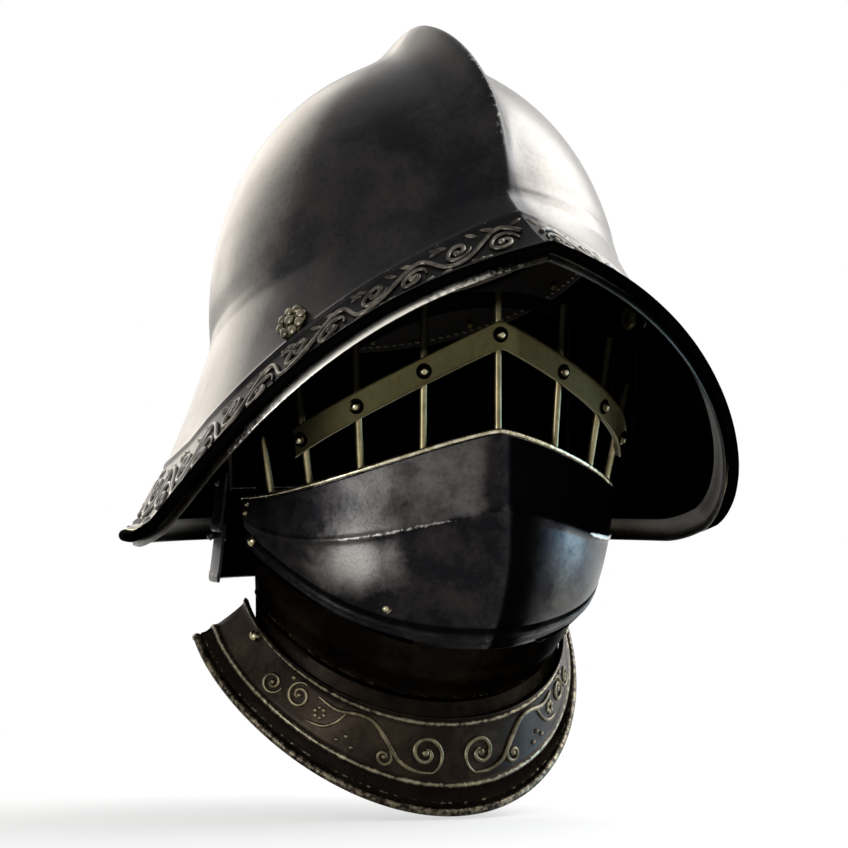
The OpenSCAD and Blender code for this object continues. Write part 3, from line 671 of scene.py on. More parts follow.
@dataclass
class Plate:
    """Curved sheet-metal plate with rounded edges, made from the grid of its outer side.

    Attributes:
        name: Name of the piece.
        outer: Points of the outer side in millimetres, by row and column.
        thickness: Thickness of the sheet.
        finish: Finish of the outer side.
        inner_finish: Finish of the inner side.
        closed: True where the rows run all the way round.
        crown: True where the columns meet in a crown at their end.
        relief: Height of the outer side's relief at each point.
        fields: Numbers for each point of the outer side, by their name, such as its wear.
        rim_wear: How bright the edges are worn.
    """

    name: str
    outer: np.ndarray
    thickness: float
    finish: Finish
    inner_finish: Finish
    closed: bool = False
    crown: bool = False
    relief: np.ndarray | None = None
    fields: dict[str, np.ndarray] = field(default_factory=dict)
    rim_wear: float = 0.8

    def build(self) -> Object:
        """Makes the plate's mesh as one closed solid."""
        rings, crowns = self.rings()
        faces, slots = self.faces(rings.shape[1])
        if not self.closed:
            caps = self.caps(rings.shape[1])
            faces, slots = faces + caps, slots + [0] * len(caps)
        fields = {key: self.spread(key, rings.shape[1], len(crowns))
                  for key in dict.fromkeys(("wear", "depth", *self.fields))}
        points = np.vstack([rings.reshape(-1, 3), *crowns])
        return finish_mesh(self.name, points, faces, self.finish, self.inner_finish, slots, fields)

    def rings(self) -> tuple[np.ndarray, list[np.ndarray]]:
        """Lays the section of each row: inner side, lower rim, outer side and upper rim.

        Returns:
            The sections, and the middles of the crown's inner and outer side where the plate has one.
        """
        base = self.outer.copy()
        down, up = base[:, 0] - base[:, 1], base[:, -1] - base[:, -2]
        down /= np.linalg.norm(down, axis=1, keepdims=True)
        up /= np.maximum(np.linalg.norm(up, axis=1, keepdims=True), 1e-9)
        base[:, 0] -= down * self.thickness / 2
        if not self.crown:
            base[:, -1] -= up * self.thickness / 2
        normal = grid_normals(base, self.closed)
        inner = base - normal * self.thickness
        outer = base if self.relief is None else base + normal * self.relief[..., None]
        parts = [inner[:, ::-1], rim(outer[:, 0], inner[:, 0], down, self.thickness)[:, ::-1], outer]
        if self.crown:
            return np.concatenate(parts, axis=1), [inner[:, -1].mean(0), outer[:, -1].mean(0)]
        parts.append(rim(outer[:, -1], inner[:, -1], up, self.thickness))
        return np.concatenate(parts, axis=1), []

    def faces(self, k: int) -> tuple[list, list[int]]:
        """Faces between the sections of k points, and round the crown, each with its slot."""
        n, m = self.outer.shape[:2]
        faces, slots = [], []
        for a, b in [(i * k, (i + 1) % n * k) for i in range(n if self.closed else n - 1)]:
            for j in range(k - 1 if self.crown else k):
                j2 = (j + 1) % k
                faces.append((a + j, b + j, b + j2, a + j2))
                slots.append(1 if j < m - 1 else 0)
        if self.crown:
            for a, b in [(i * k, (i + 1) % n * k) for i in range(n)]:
                faces += [(b, a, n * k), (a + k - 1, b + k - 1, n * k + 1)]
                slots += [1, 0]
        return faces, slots

    def caps(self, k: int) -> list:
        """Faces that close the first and the last section of k points."""
        n, m = self.outer.shape[:2]
        found = []
        for a, turn in ((0, 1), ((n - 1) * k, -1)):
            inside, outside = a + m - 1, a + m + 3
            caps = [(outside + j, outside + j + 1, inside - j - 1, inside - j) for j in range(m - 1)]
            caps += [(*range(outside + m - 1, outside + m + 3), a), (*range(inside, outside + 1),)]
            found += [cap[::turn] for cap in caps]
        return found

    def spread(self, key: str, k: int, crowns: int) -> np.ndarray:
        """Numbers of one kind for all the points of the sections and the crown."""
        n, m = self.outer.shape[:2]
        ring = np.zeros((n, k))
        ring[:, m + 3:2 * m + 3] = self.fields.get(key, 0.0)
        if key == "wear":
            ring[:, m:m + 3] = self.rim_wear
            ring[:, 2 * m + 3:] = self.rim_wear
        return np.append(ring.ravel(), [0.0] * crowns)


def tube(name: str, path: np.ndarray, radius: float, finish: Finish, closed: bool = False, sides: int = 14,
         wear: float = 0.0) -> Object:
    """Round bead swept along a path, with domed ends where the path is open.

    Args:
        name: Name of the piece.
        path: Points in millimetres.
        radius: Radius of the bead.
        finish: Finish of the bead.
        closed: True where the path runs all the way round.
        sides: Number of sides of its section.
        wear: How bright the bead is worn.

    Returns:
        The object.
    """
    path = np.asarray(path, float)
    ahead = np.roll(path, -1, 0) - np.roll(path, 1, 0) if closed else np.gradient(path, axis=0)
    ahead /= np.linalg.norm(ahead, axis=1, keepdims=True)
    side = np.cross(ahead, [0.0, 0.0, 1.0])
    side /= np.linalg.norm(side, axis=1, keepdims=True)
    up = np.cross(side, ahead)
    turns = np.linspace(0, 2 * math.pi, sides, endpoint=False)

    def ring(k: int, push: float = 0.0) -> np.ndarray:
        """Section at a point of the path, pushed into the dome of an end by a share of the radius."""
        around = np.outer(np.cos(turns), side[k]) + np.outer(np.sin(turns), up[k])
        return path[k] + push * radius * ahead[k] + radius * math.sqrt(1 - push * push) * around

    rings = [ring(k) for k in range(len(path))]
    if not closed:
        rings = [ring(0, -0.85), ring(0, -0.5), *rings, ring(-1, 0.5), ring(-1, 0.85)]
    n = len(rings)
    points = np.vstack(rings)
    faces = []
    for i in range(n if closed else n - 1):
        a, b = i * sides, (i + 1) % n * sides
        faces += [(a + q, a + (q + 1) % sides, b + (q + 1) % sides, b + q) for q in range(sides)]
    if not closed:
        points = np.vstack([points, path[0] - ahead[0] * radius, path[-1] + ahead[-1] * radius])
        for q in range(sides):
            q2 = (q + 1) % sides
            faces += [(q2, q, n * sides), ((n - 1) * sides + q, (n - 1) * sides + q2, n * sides + 1)]
    return finish_mesh(name, points, faces, finish, fields={"wear": np.full(len(points), wear)})


def turned(profile: list[tuple[float, float]], sides: int) -> Shape:
    """Points and faces of a shape turned about +Z, closed at both ends of its profile.

    Args:
        profile: Radius and height of each point, from the lowest upwards on the outside.
        sides: Number of sides.

    Returns:
        Its points and its faces.
    """
    turns = np.linspace(0, 2 * math.pi, sides, endpoint=False)
    points = [(r * math.cos(t), r * math.sin(t), z) for r, z in profile for t in turns]
    faces = [(a + q, a + (q + 1) % sides, a + sides + (q + 1) % sides, a + sides + q)
             for a in range(0, (len(profile) - 1) * sides, sides) for q in range(sides)]
    faces += [tuple(range(sides))[::-1], tuple((len(profile) - 1) * sides + q for q in range(sides))]
    return np.array(points), faces


def node_group(name: str, inputs: dict[str, str]) -> tuple[Tree, dict[str, str], Node]:
    """Geometry Nodes tree with named inputs.

    Args:
        name: Name of the tree.
        inputs: Kind of each input beside its geometry, by its name.

    Returns:
        The tree, the identifiers of its inputs and the node that gives them.
    """
    tree = bpy.data.node_groups.new(name, "GeometryNodeTree")
    for side in ("INPUT", "OUTPUT"):
        tree.interface.new_socket("Geometry", in_out=side, socket_type="NodeSocketGeometry")
    keys = {key: tree.interface.new_socket(key, in_out="INPUT", socket_type="NodeSocket" + kind).identifier
            for key, kind in inputs.items()}
    return tree, keys, add(tree, "NodeGroupInput")


def dressed(tree: Tree, start: Node, geometry: Node) -> None:
    """Ends a Geometry Nodes tree: makes what it gives real and puts its finish on."""
    real = add(tree, "GeometryNodeRealizeInstances", {"Geometry": geometry})
    made = add(tree, "GeometryNodeSetMaterial", {"Geometry": real, "Material": start.outputs["Finish"]})
    add(tree, "NodeGroupOutput", {"Geometry": made})


def applied(name: str, carrier: Object, tree: Tree, inputs: dict[str, object], sharp: float) -> Object:
    """Runs a Geometry Nodes tree on a carrier and keeps its result as a plain mesh.

    Args:
        name: Name of the piece.
        carrier: Object with the points or lines that the tree works on; it is removed.
        tree: The tree.
        inputs: Values by the identifier of their socket.
        sharp: Edges that turn by more degrees than this stay sharp.

    Returns:
        The new object, without a modifier.
    """
    modifier = carrier.modifiers.new("nodes", "NODES")
    modifier.node_group = tree
    for key, value in inputs.items():
        modifier[key] = value
    mesh = kept(carrier)
    bpy.data.objects.remove(carrier)
    mesh.name = name
    smooth(mesh, sharp)
    return put_up(name, mesh)


def carrier_of(points: np.ndarray, edges: list, fields: dict[str, np.ndarray]) -> Object:
    """Object that carries loose points or lines, in millimetres, with their numbers or directions."""
    mesh = bpy.data.meshes.new("carrier")
    mesh.from_pydata((np.asarray(points) * MM).tolist(), edges, [])
    for key, values in fields.items():
        store(mesh, key, values)
    return put_up("carrier", mesh)


def scattered(name: str, shape: Shape, places: list[Place], finish: Finish,
              size: list[float] | float = 1.0) -> Object:
    """Repeats a small shape on places with Geometry Nodes.

    Args:
        name: Name of the piece.
        shape: Points and faces of the shape, in millimetres, standing on +Z with its length along +X.
        places: Point of each one, the direction that it stands on and the one that its length follows.
        finish: Finish of the shapes.
        size: Scale of all of them, or of each.

    Returns:
        One object with all of them.
    """
    template = finish_mesh("template", *shape, finish, fields={"wear": np.zeros(len(shape[0]))})
    tree, keys, start = node_group(
        name + "_on_points", {"Shape": "Object", "Finish": "Material", "Scale": "Float"})
    model = add(tree, "GeometryNodeObjectInfo", {"Object": start.outputs["Shape"]},
                transform_space="ORIGINAL")
    out, along, scale = (
        add(tree, "GeometryNodeInputNamedAttribute", {"Name": key}, data_type=kind)
        for key, kind in (("out", "FLOAT_VECTOR"), ("along", "FLOAT_VECTOR"), ("size", "FLOAT")))
    turn = add(tree, "FunctionNodeAxesToRotation", {"Primary Axis": out, "Secondary Axis": along},
               primary_axis="Z", secondary_axis="X")
    scale = add(tree, MATH, {0: scale, 1: start.outputs["Scale"]}, operation="MULTIPLY")
    dressed(tree, start, add(tree, "GeometryNodeInstanceOnPoints", {
        "Points": start.outputs["Geometry"], "Instance": model.outputs["Geometry"], "Rotation": turn,
        "Scale": scale}))
    points, out, along = (np.array(column) for column in zip(*places))
    carrier = carrier_of(points, [], {"out": out, "along": along, "size": np.broadcast_to(size, len(points))})
    made = applied(name, carrier, tree, {
        keys["Shape"]: template, keys["Finish"]: finish.material(), keys["Scale"]: 1.0}, SHARP_COPY)
    bpy.data.objects.remove(template)
    return made


def strokes(name: str, lines: list[tuple[np.ndarray, np.ndarray]], finish: Finish, sides: int = 8) -> Object:
    """Raised lines of an ornament, swept along their paths with Geometry Nodes.

    Args:
        name: Name of the piece.
        lines: Path of each line in millimetres, with its radius at each point.
        finish: Finish of the lines.
        sides: Number of sides of their section.

    Returns:
        One object with all of them.
    """
    tree, keys, start = node_group(name + "_along_paths", {"Sides": "Int", "Finish": "Material"})
    curve = add(tree, "GeometryNodeMeshToCurve", {"Mesh": start.outputs["Geometry"]})
    girth = add(tree, "GeometryNodeInputNamedAttribute", {"Name": "girth"}, data_type="FLOAT")
    thick = add(tree, "GeometryNodeSetCurveRadius", {"Curve": curve, "Radius": girth})
    section = add(tree, "GeometryNodeCurvePrimitiveCircle", {
        "Resolution": start.outputs["Sides"], "Radius": 1.0})
    swept = add(tree, "GeometryNodeCurveToMesh", {
        "Curve": thick, "Profile Curve": section, "Fill Caps": True})
    if "Scale" in swept.inputs:
        tree.links.new(girth.outputs[0], swept.inputs["Scale"])
    dressed(tree, start, swept)
    edges, count = [], 0
    for path, _ in lines:
        edges += [(count + i, count + i + 1) for i in range(len(path) - 1)]
        count += len(path)
    paths, girths = zip(*lines)
    carrier = carrier_of(np.vstack(paths), edges, {"girth": np.concatenate(girths) * MM})
    return applied(name, carrier, tree, {keys["Sides"]: sides, keys["Finish"]: finish.material()}, SHARP_LINE)


def facing(surface: Surface, angle: float, share: float, lift: float = 0.0) -> Place:
    """Place on a surface, with its outward normal and the direction round the helmet.

    Args:
        surface: Gives a point for an angle and a share that grows downwards.
        angle: Angle of the place.
        share: Share of the place.
        lift: Height over the surface.

    Returns:
        The lifted point, the normal and the direction towards larger angles.
    """
    point = surface(angle, share)
    along = unit(surface(angle + 0.2, share) - surface(angle - 0.2, share))
    up = surface(angle, share - 0.005) - surface(angle, share + 0.005)
    normal = unit(np.cross(along, up))
    return point + normal * lift, normal, along


@dataclass
class RunningBand:
    """Strip of ornament along a surface, measured in millimetres along its middle and across it.

    Attributes:
        surface: Gives a point for an angle and a share that grows downwards.
        upper: Share of the strip's upper border at an angle.
        lower: Share of its lower border at an angle.
        end: Angle at which it ends on both sides.
    """

    surface: Surface
    upper: Callable[[float], float]
    lower: Callable[[float], float]
    end: float

    def __post_init__(self) -> None:
        """Measures the strip's length and width."""
        self.angles = np.linspace(0, self.end, 240)
        middle = np.array([self.surface(a, self.share(a, 0.5)) for a in self.angles])
        steps = np.linalg.norm(np.diff(middle, axis=0), axis=1)
        self.lengths = np.concatenate([[0.0], np.cumsum(steps)])
        ends = [(self.surface(a, self.upper(a)), self.surface(a, self.lower(a))) for a in self.angles]
        self.widths = np.array([np.linalg.norm(p - q) for p, q in ends])

    def share(self, angle: float, across: float) -> float:
        """Share of a place across the strip, from 0 at its upper border to 1 at its lower one."""
        return mix(self.upper(angle), self.lower(angle), across)

    def at(self, along_mm: float, across_mm: float, lift: float) -> Place:
        """Place at a distance along the strip from the middle line and above its own middle."""
        angle = float(np.interp(abs(along_mm), self.lengths, self.angles))
        width = float(np.interp(angle, self.angles, self.widths))
        share = self.share(math.copysign(angle, along_mm), 0.5 - across_mm / width)
        return facing(self.surface, math.copysign(angle, along_mm), share, lift)

    def path(self, plan_mm: np.ndarray, lift: float) -> np.ndarray:
        """Path on the surface through places given along and across the strip."""
        return np.array([self.at(u, v, lift)[0] for u, v in plan_mm])


def volute(center: tuple[float, float], start: float, radius: float, end_radius: float, turns: float,
           sense: int, count: int = 46) -> np.ndarray:
    """Spiral in the plane of a strip.

    Args:
        center: Its centre, along and across.
        start: Angle at which it starts, in degrees.
        radius: Radius at its start.
        end_radius: Radius at its end.
        turns: Number of turns.
        sense: 1 for anticlockwise and -1 for clockwise.
        count: Number of points.

    Returns:
        Its points.
    """
    t = np.linspace(0, 1, count)
    r = end_radius + (radius - end_radius) * (1 - t) ** 0.8
    angle = np.radians(start) + sense * 2 * math.pi * turns * t
    return np.stack([center[0] + r * np.cos(angle), center[1] + r * np.sin(angle)], axis=1)


def smooth_path(knots: list[tuple[float, float]], count: int) -> np.ndarray:
    """Smooth curve through knots in the plane of a strip, evenly spaced."""
    knots = np.array(knots, float)
    padded = np.vstack([2 * knots[0] - knots[1], knots, 2 * knots[-1] - knots[-2]])
    found = []
    for i in range(1, len(padded) - 2):
        p0, p1, p2, p3 = padded[i - 1:i + 3]
        for t in np.linspace(0, 1, 12, endpoint=False):
            found.append(0.5 * (2 * p1 + (p2 - p0) * t + (2 * p0 - 5 * p1 + 4 * p2 - p3) * t ** 2
                                + (3 * p1 - p0 - 3 * p2 + p3) * t ** 3))
    found = np.array([*found, knots[-1]])
    gone = np.concatenate([[0.0], np.cumsum(np.linalg.norm(np.diff(found, axis=0), axis=1))])
    even = np.linspace(0, gone[-1], count)
    return np.stack([np.interp(even, gone, found[:, k]) for k in range(2)], axis=1)


def tapered(count: int, girth: float, ends: float = 0.35) -> np.ndarray:
    """Girth of a line that thins towards both of its ends."""
    t = np.linspace(0, 1, count)
    return girth * (ends + (1 - ends) * np.clip(np.minimum(t, 1 - t) * 5, 0, 1) ** 0.6)


# Small veined leaf, as points and faces: its stalk, pairs along its sides, its tip and its midrib.
LEAF = (np.array([(0.0, 0.0, 0.0)]
                 + [(x, y * s, 0.0) for x, y in ((1.4, 1.1), (3.4, 1.7), (5.6, 1.2)) for s in (1, -1)]
                 + [(7.6, 0.0, 0.0), (1.2, 0.0, 0.7), (3.4, 0.0, 1.15), (5.6, 0.0, 0.8)]),
        [(0, 8, 1), (1, 8, 9, 3), (3, 9, 10, 5), (5, 10, 7), (0, 2, 8), (2, 4, 9, 8), (4, 6, 10, 9),
         (6, 7, 10), (0, 1, 3, 5, 7, 6, 4, 2)])


def dome(radius: float, height: float, sides: int) -> Shape:
    """Points and faces of a rivet's or a bead's dome, whose foot goes a little below its seat."""
    profile = [(radius * 0.96, -0.4), (radius, 0.0)]
    profile += [(radius * math.cos(t), height * math.sin(t)) for t in np.radians([25, 50, 70, 84])]
    return turned(profile, sides)


def painted_sheen(angle: float) -> float:
    """Share of painted sheen at a longitude: paler metal on the wearer's left and his right flank, less at
    the back, none at the front of his right side.
    """
    angle = wrapped(angle)
    side = mix(ease(58, 92, -angle), 1.0, ease(1, 9, angle))
    return side * (0.55 + 0.45 * ease(0, 30, abs(angle))) * (1 - 0.7 * ease(125, 175, abs(angle)))


class Bodies:
    """Names of the CAD bodies that pieces of this script move with."""

    SKULL = "skull"
    FACE = "bevor"
    COLLAR = "collar"
    GORGET = "gorget"
    NAPE_UPPER = "nape_upper"
    NAPE_LOWER = "nape_lower"


@dataclass
class CombedSkull:
    """Bowl of the helmet, raised from one sheet with its comb.

    Attributes:
        sheet_mm: Thickness of the sheet.
        around: Number of rows round the bowl.
        rows: Number of rows from the rim to the crown.
        lift_mm: Height of the rim over the brim's root.
    """

    sheet_mm: float = 1.8
    around: int = 300
    rows: int = 96
    lift_mm: float = 2.0

    def longitude(self, i: int) -> float:
        """Longitude of a row; rows crowd where the comb runs."""
        u = i / self.around * 360
        return u - 20 * sin(2 * u) + 20 / 7 * sin(4 * u)

    def build(self) -> None:
        """Makes the bowl."""
        grid = np.zeros((self.around, self.rows, 3))
        wear, pale = np.zeros((self.around, self.rows)), np.zeros((self.around, self.rows))
        for i in range(self.around):
            a = self.longitude(i)
            # The pale share carries the painted sheen of the lit sides.
            pale[i] = painted_sheen(a)
            e0 = HELMET.skull_angle(HELMET.root_z(a) + self.lift_mm)
            for j in range(self.rows):
                e = mix(e0, 89.2, 1 - (1 - j / (self.rows - 1)) ** 1.1)
                grid[i, j] = HELMET.skull(a, e)
                on_comb = HELMET.comb_rise(math.degrees(math.atan2(sin(e), cos(e) * cos(a)))) > 0.05
                wear[i, j] = 0.3 * bell(grid[i, j, 0], 3.5) * on_comb
        piece = Plate("skull_bowl", grid, self.sheet_mm, BLACKENED, DARK_AND_SHADE, closed=True, crown=True,
                      fields={"wear": wear, "pale": pale}, rim_wear=0.0).build()
        settle(piece, Bodies.SKULL, Slot.STEEL, "skull")


@dataclass
class PointedBrim:
    """Flared brim with its ornament band, rolled edge and turned lip.

    Attributes:
        sheet_mm: Thickness of the sheet.
        around: Number of rows round the brim.
        roll_mm: Radius of the rolled edge.
        lip_mm: Width of the turned lip.
        border_mm: Height of the raised borders.
        scroll_mm: Length of one scroll of the vine.
        band_low: Share of the ornament band's lower border.
        rosette_at: Angle and share of the rosettes.
        tongue: Height over the root and depth under the skull's outer side, along the part that is
            hidden in the joint with the skull.
    """

    sheet_mm: float = 1.6
    around: int = 560
    roll_mm: float = 2.8
    lip_mm: float = 9.0
    border_mm: float = 0.8
    scroll_mm: float = 23.0
    band_low: float = 0.965
    rosette_at: tuple[float, float] = (55.0, 0.44)
    tongue: tuple[tuple[float, float], ...] = (
        (1.0, -0.1), (4.0, -0.12), (9.0, -0.06), (14.0, 0.02), (19.0, 0.14), (22.0, 0.5), (23.0, 1.9))

    def longitude(self, i: int) -> float:
        """Longitude of a row; rows crowd at the front's point."""
        u = i / self.around * 360
        return u - 7 * sin(2 * u) + sin(4 * u)

    def upper_border(self, angle: float) -> float:
        """Share of the ornament band's upper border."""
        return float(np.interp(abs(wrapped(angle)), [0, 8, 16, 27, 43, 60, 80, 100, 130, 180],
                               [0.40, 0.45, 0.505, 0.535, 0.55, 0.555, 0.56, 0.58, 0.62, 0.62]))

    def build(self) -> None:
        """Makes the brim and all that is on its edge."""
        self.plate()
        self.edge()
        self.vine()
        self.rosettes()

    def plate(self) -> None:
        """Makes the plate with the band's borders and its sunk ground."""
        band = [0.0, 0.015, 0.03, 0.045, 0.06, 0.08, 0.1, 0.13, *np.linspace(0.18, 0.86, 13),
                0.9, 0.93, 0.95, 0.97, 0.985, 1.0, 1.015, 1.03, 1.05, 1.08]
        rest = np.linspace(0.04, 1.0, 28)
        count = len(band) + len(rest) + len(self.tongue)
        grid = np.zeros((self.around, count, 3))
        relief, wear, depth, pale = (np.zeros((self.around, count)) for _ in range(4))
        for i in range(self.around):
            a = self.longitude(i)
            top = self.upper_border(a)
            shares = [1 - (1 - top) * t for t in band]
            shares += [mix(shares[-1], 0.02, t) for t in rest]
            for j, s in enumerate(shares):
                grid[i, j] = HELMET.brim(a, s)
            for j, (rise, inset) in enumerate(self.tongue):
                grid[i, len(shares) + j] = HELMET.skull(a, HELMET.skull_angle(HELMET.root_z(a) + rise), inset)
            length = np.linalg.norm(HELMET.brim(a, 1) - HELMET.brim(a, top))
            # The pale share carries the painted sheen of the lit sides, and the sunk ground is darkened less
            # under it.
            pale[i] = painted_sheen(a)
            for j, s in enumerate(shares):
                from_top = (s - top) / (1 - top) * length
                from_low = (self.band_low - s) / (1 - top) * length
                ridge = bell(from_top, 1.1) + bell(from_low, 1.0)
                sunk = ease(0.8, 3.0, from_top) * ease(0.8, 3.0, from_low)
                fold = bell(grid[i, j, 2] + 1 - HELMET.crease_z(a), 1.7)
                relief[i, j] = self.border_mm * ridge - 0.5 * sunk + 0.45 * fold
                wear[i, j] = 0.24 * ridge
                depth[i, j] = 0.3 * sunk * (1 - 0.7 * pale[i, j])
        piece = Plate("brim_plate", grid, self.sheet_mm, BLACKENED, DARK_AND_SHADE, closed=True, relief=relief,
                      fields={"wear": wear, "depth": depth, "pale": pale}, rim_wear=0.0).build()
        settle(piece, Bodies.SKULL, Slot.STEEL, "brim")

    def lip_row(self, out: float, down: float) -> np.ndarray:
        """Row of points round the edge, moved out along the plate and down from it."""
        found = []
        for i in range(self.around):
            a = self.longitude(i)
            point, normal, _ = facing(HELMET.brim, a, 1.0)
            ahead = unit(point - HELMET.brim(a, 0.9))
            found.append(point + out * ahead - down * normal)
        return np.array(found)

    def edge(self) -> None:
        """Makes the rolled edge, near black as painted shade, and the lip turned up behind it, painted bright
        in one stretch.
        """
        middle = self.lip_row(self.roll_mm + 0.3, self.sheet_mm / 2)
        # The roll takes the near-black finish: painted shade along the brim's edge.
        roll = tube("brim_rolled_edge", middle, self.roll_mm, DARK_AND_SHADE, closed=True, sides=16)
        settle(roll, Bodies.SKULL, Slot.RUSSET, "brim_roll")
        line = tube("brim_gilt_line", self.lip_row(-0.4, -0.2), 0.8, GILT, closed=True, sides=8, wear=0.7)
        settle(line, Bodies.SKULL, Slot.GILT)
        across = [(0.7, 6.2), (0.4, 5.4), (0.0, 4.3), (-0.7, 2.9), (-1.8, 1.6), (-3.4, 0.8), (-5.6, 0.3),
                  (-self.lip_mm, 0.0)]
        outer = np.stack([self.lip_row(out, self.sheet_mm + 0.5 + drop) for out, drop in across], axis=1)
        # Painted highlight: the lip is painted bright near the front on the wearer's right, where light
        # catches it.
        held = np.array([bell(wrapped(self.longitude(i)) + 34, 26) for i in range(self.around)])
        bright = np.outer(held, [1.0, 1.0, 1.0, 0.9, 0.7, 0.4, 0.2, 0.0])
        lip = Plate("brim_turned_lip", outer, 1.0, LIP, LIP, closed=True, fields={"wear": bright},
                    rim_wear=0.0).build()
        settle(lip, Bodies.SKULL, Slot.GILT, "brim_turned_band")

    def vine(self) -> None:
        """Makes the running vine: a waving stem between the borders, volutes, leaves and berries."""
        band = RunningBand(HELMET.brim, self.upper_border, lambda a: self.band_low, 178.0)
        lines, leaves, berries = [], [], []
        total = band.lengths[-1]
        pieces = int(total // self.scroll_mm)
        step = total / pieces
        for side in (-1, 1):
            along = np.arange(6.0, total - 1.0, 1.5)
            swing = np.interp(along, band.lengths, band.widths) * np.sin(math.pi * (along / step - 0.2))
            swing *= 0.27
            lines.append((band.path(np.stack([side * along, swing], axis=1), 0.0), np.full(len(along), 1.5)))
            for k in range(pieces):
                u = (k + 0.7) * step
                if not 9 < u < total - 8:
                    continue
                width = float(np.interp(u, band.lengths, band.widths))
                crest = 1 if k % 2 == 0 else -1
                radius = min(0.24 * width, 0.4 * step)
                center = (side * u, -0.10 * width * crest)
                spiral = volute(center, 180 if side > 0 else 0, radius, 1.3, 1.35, -crest * side)
                lines.append((band.path(spiral, 0.0), tapered(len(spiral), 1.35)))
                berries.append(band.at(*spiral[-1], -0.2))
                for du, dv, turn in ((0.50, 0.27, 35), (0.42, -0.30, -40), (-0.28, 0.30, 150),
                                     (0.1, 0.31, 20), (0.28, -0.34, -20)):
                    point, normal, round_it = band.at(side * (u + du * step), dv * width * crest, -0.25)
                    leaves.append((point, normal, cos(turn * crest) * side * round_it
                                   + sin(turn * crest) * np.cross(normal, round_it)))
        for piece in (strokes("brim_vine", lines, BLACKENED_WORN),
                      scattered("brim_leaves", LEAF, leaves, BLACKENED_WORN),
                      scattered("brim_berries", dome(1.0, 0.9, 12), berries, BLACKENED_WORN, 2.1)):
            self.paler(piece)
            settle(piece, Bodies.SKULL, Slot.STEEL)

    def paler(self, piece: Object) -> None:
        """Stores at each point of an ornament the share of painted sheen at its longitude."""
        x, y, _ = places_of(piece.data).T / MM
        angles = np.degrees(np.arctan2(x / HELMET.brim_half_w, -(y + HELMET.brim_center) / HELMET.brim_front))
        store(piece.data, "pale", np.array([painted_sheen(a) for a in angles]))

    def rosettes(self) -> None:
        """Makes the flower-headed rivets that carry the lugs of the pivots."""
        angle, share = self.rosette_at
        petals = []
        for side in (-1, 1):
            center, normal, round_it = facing(HELMET.brim, side * angle, share, 1.6)
            across = np.cross(normal, round_it)
            for k in range(8):
                ray = cos(k * 45) * round_it + sin(k * 45) * across
                petals.append((center + 6.9 * ray, normal + 0.25 * ray, ray))
            petals.append((center + normal, normal, round_it))
        piece = scattered("rosette_petals", dome(2.95, 2.0, 18), petals, ROSETTE, ([1.0] * 8 + [1.05]) * 2)
        settle(piece, Bodies.SKULL, Slot.GILT, "rosettes")
        dish = turned([(8.6, -0.4), (8.9, 0.2), (8.6, 0.9), (6.0, 1.25), (1.5, 1.4)], 40)
        for side, name in ((-1, "rosette_plate_right"), (1, "rosette_plate_left")):
            plate = scattered(name, dish, [facing(HELMET.brim, side * angle, share, 0.35)], GILT)
            settle(plate, Bodies.SKULL, Slot.GILT)


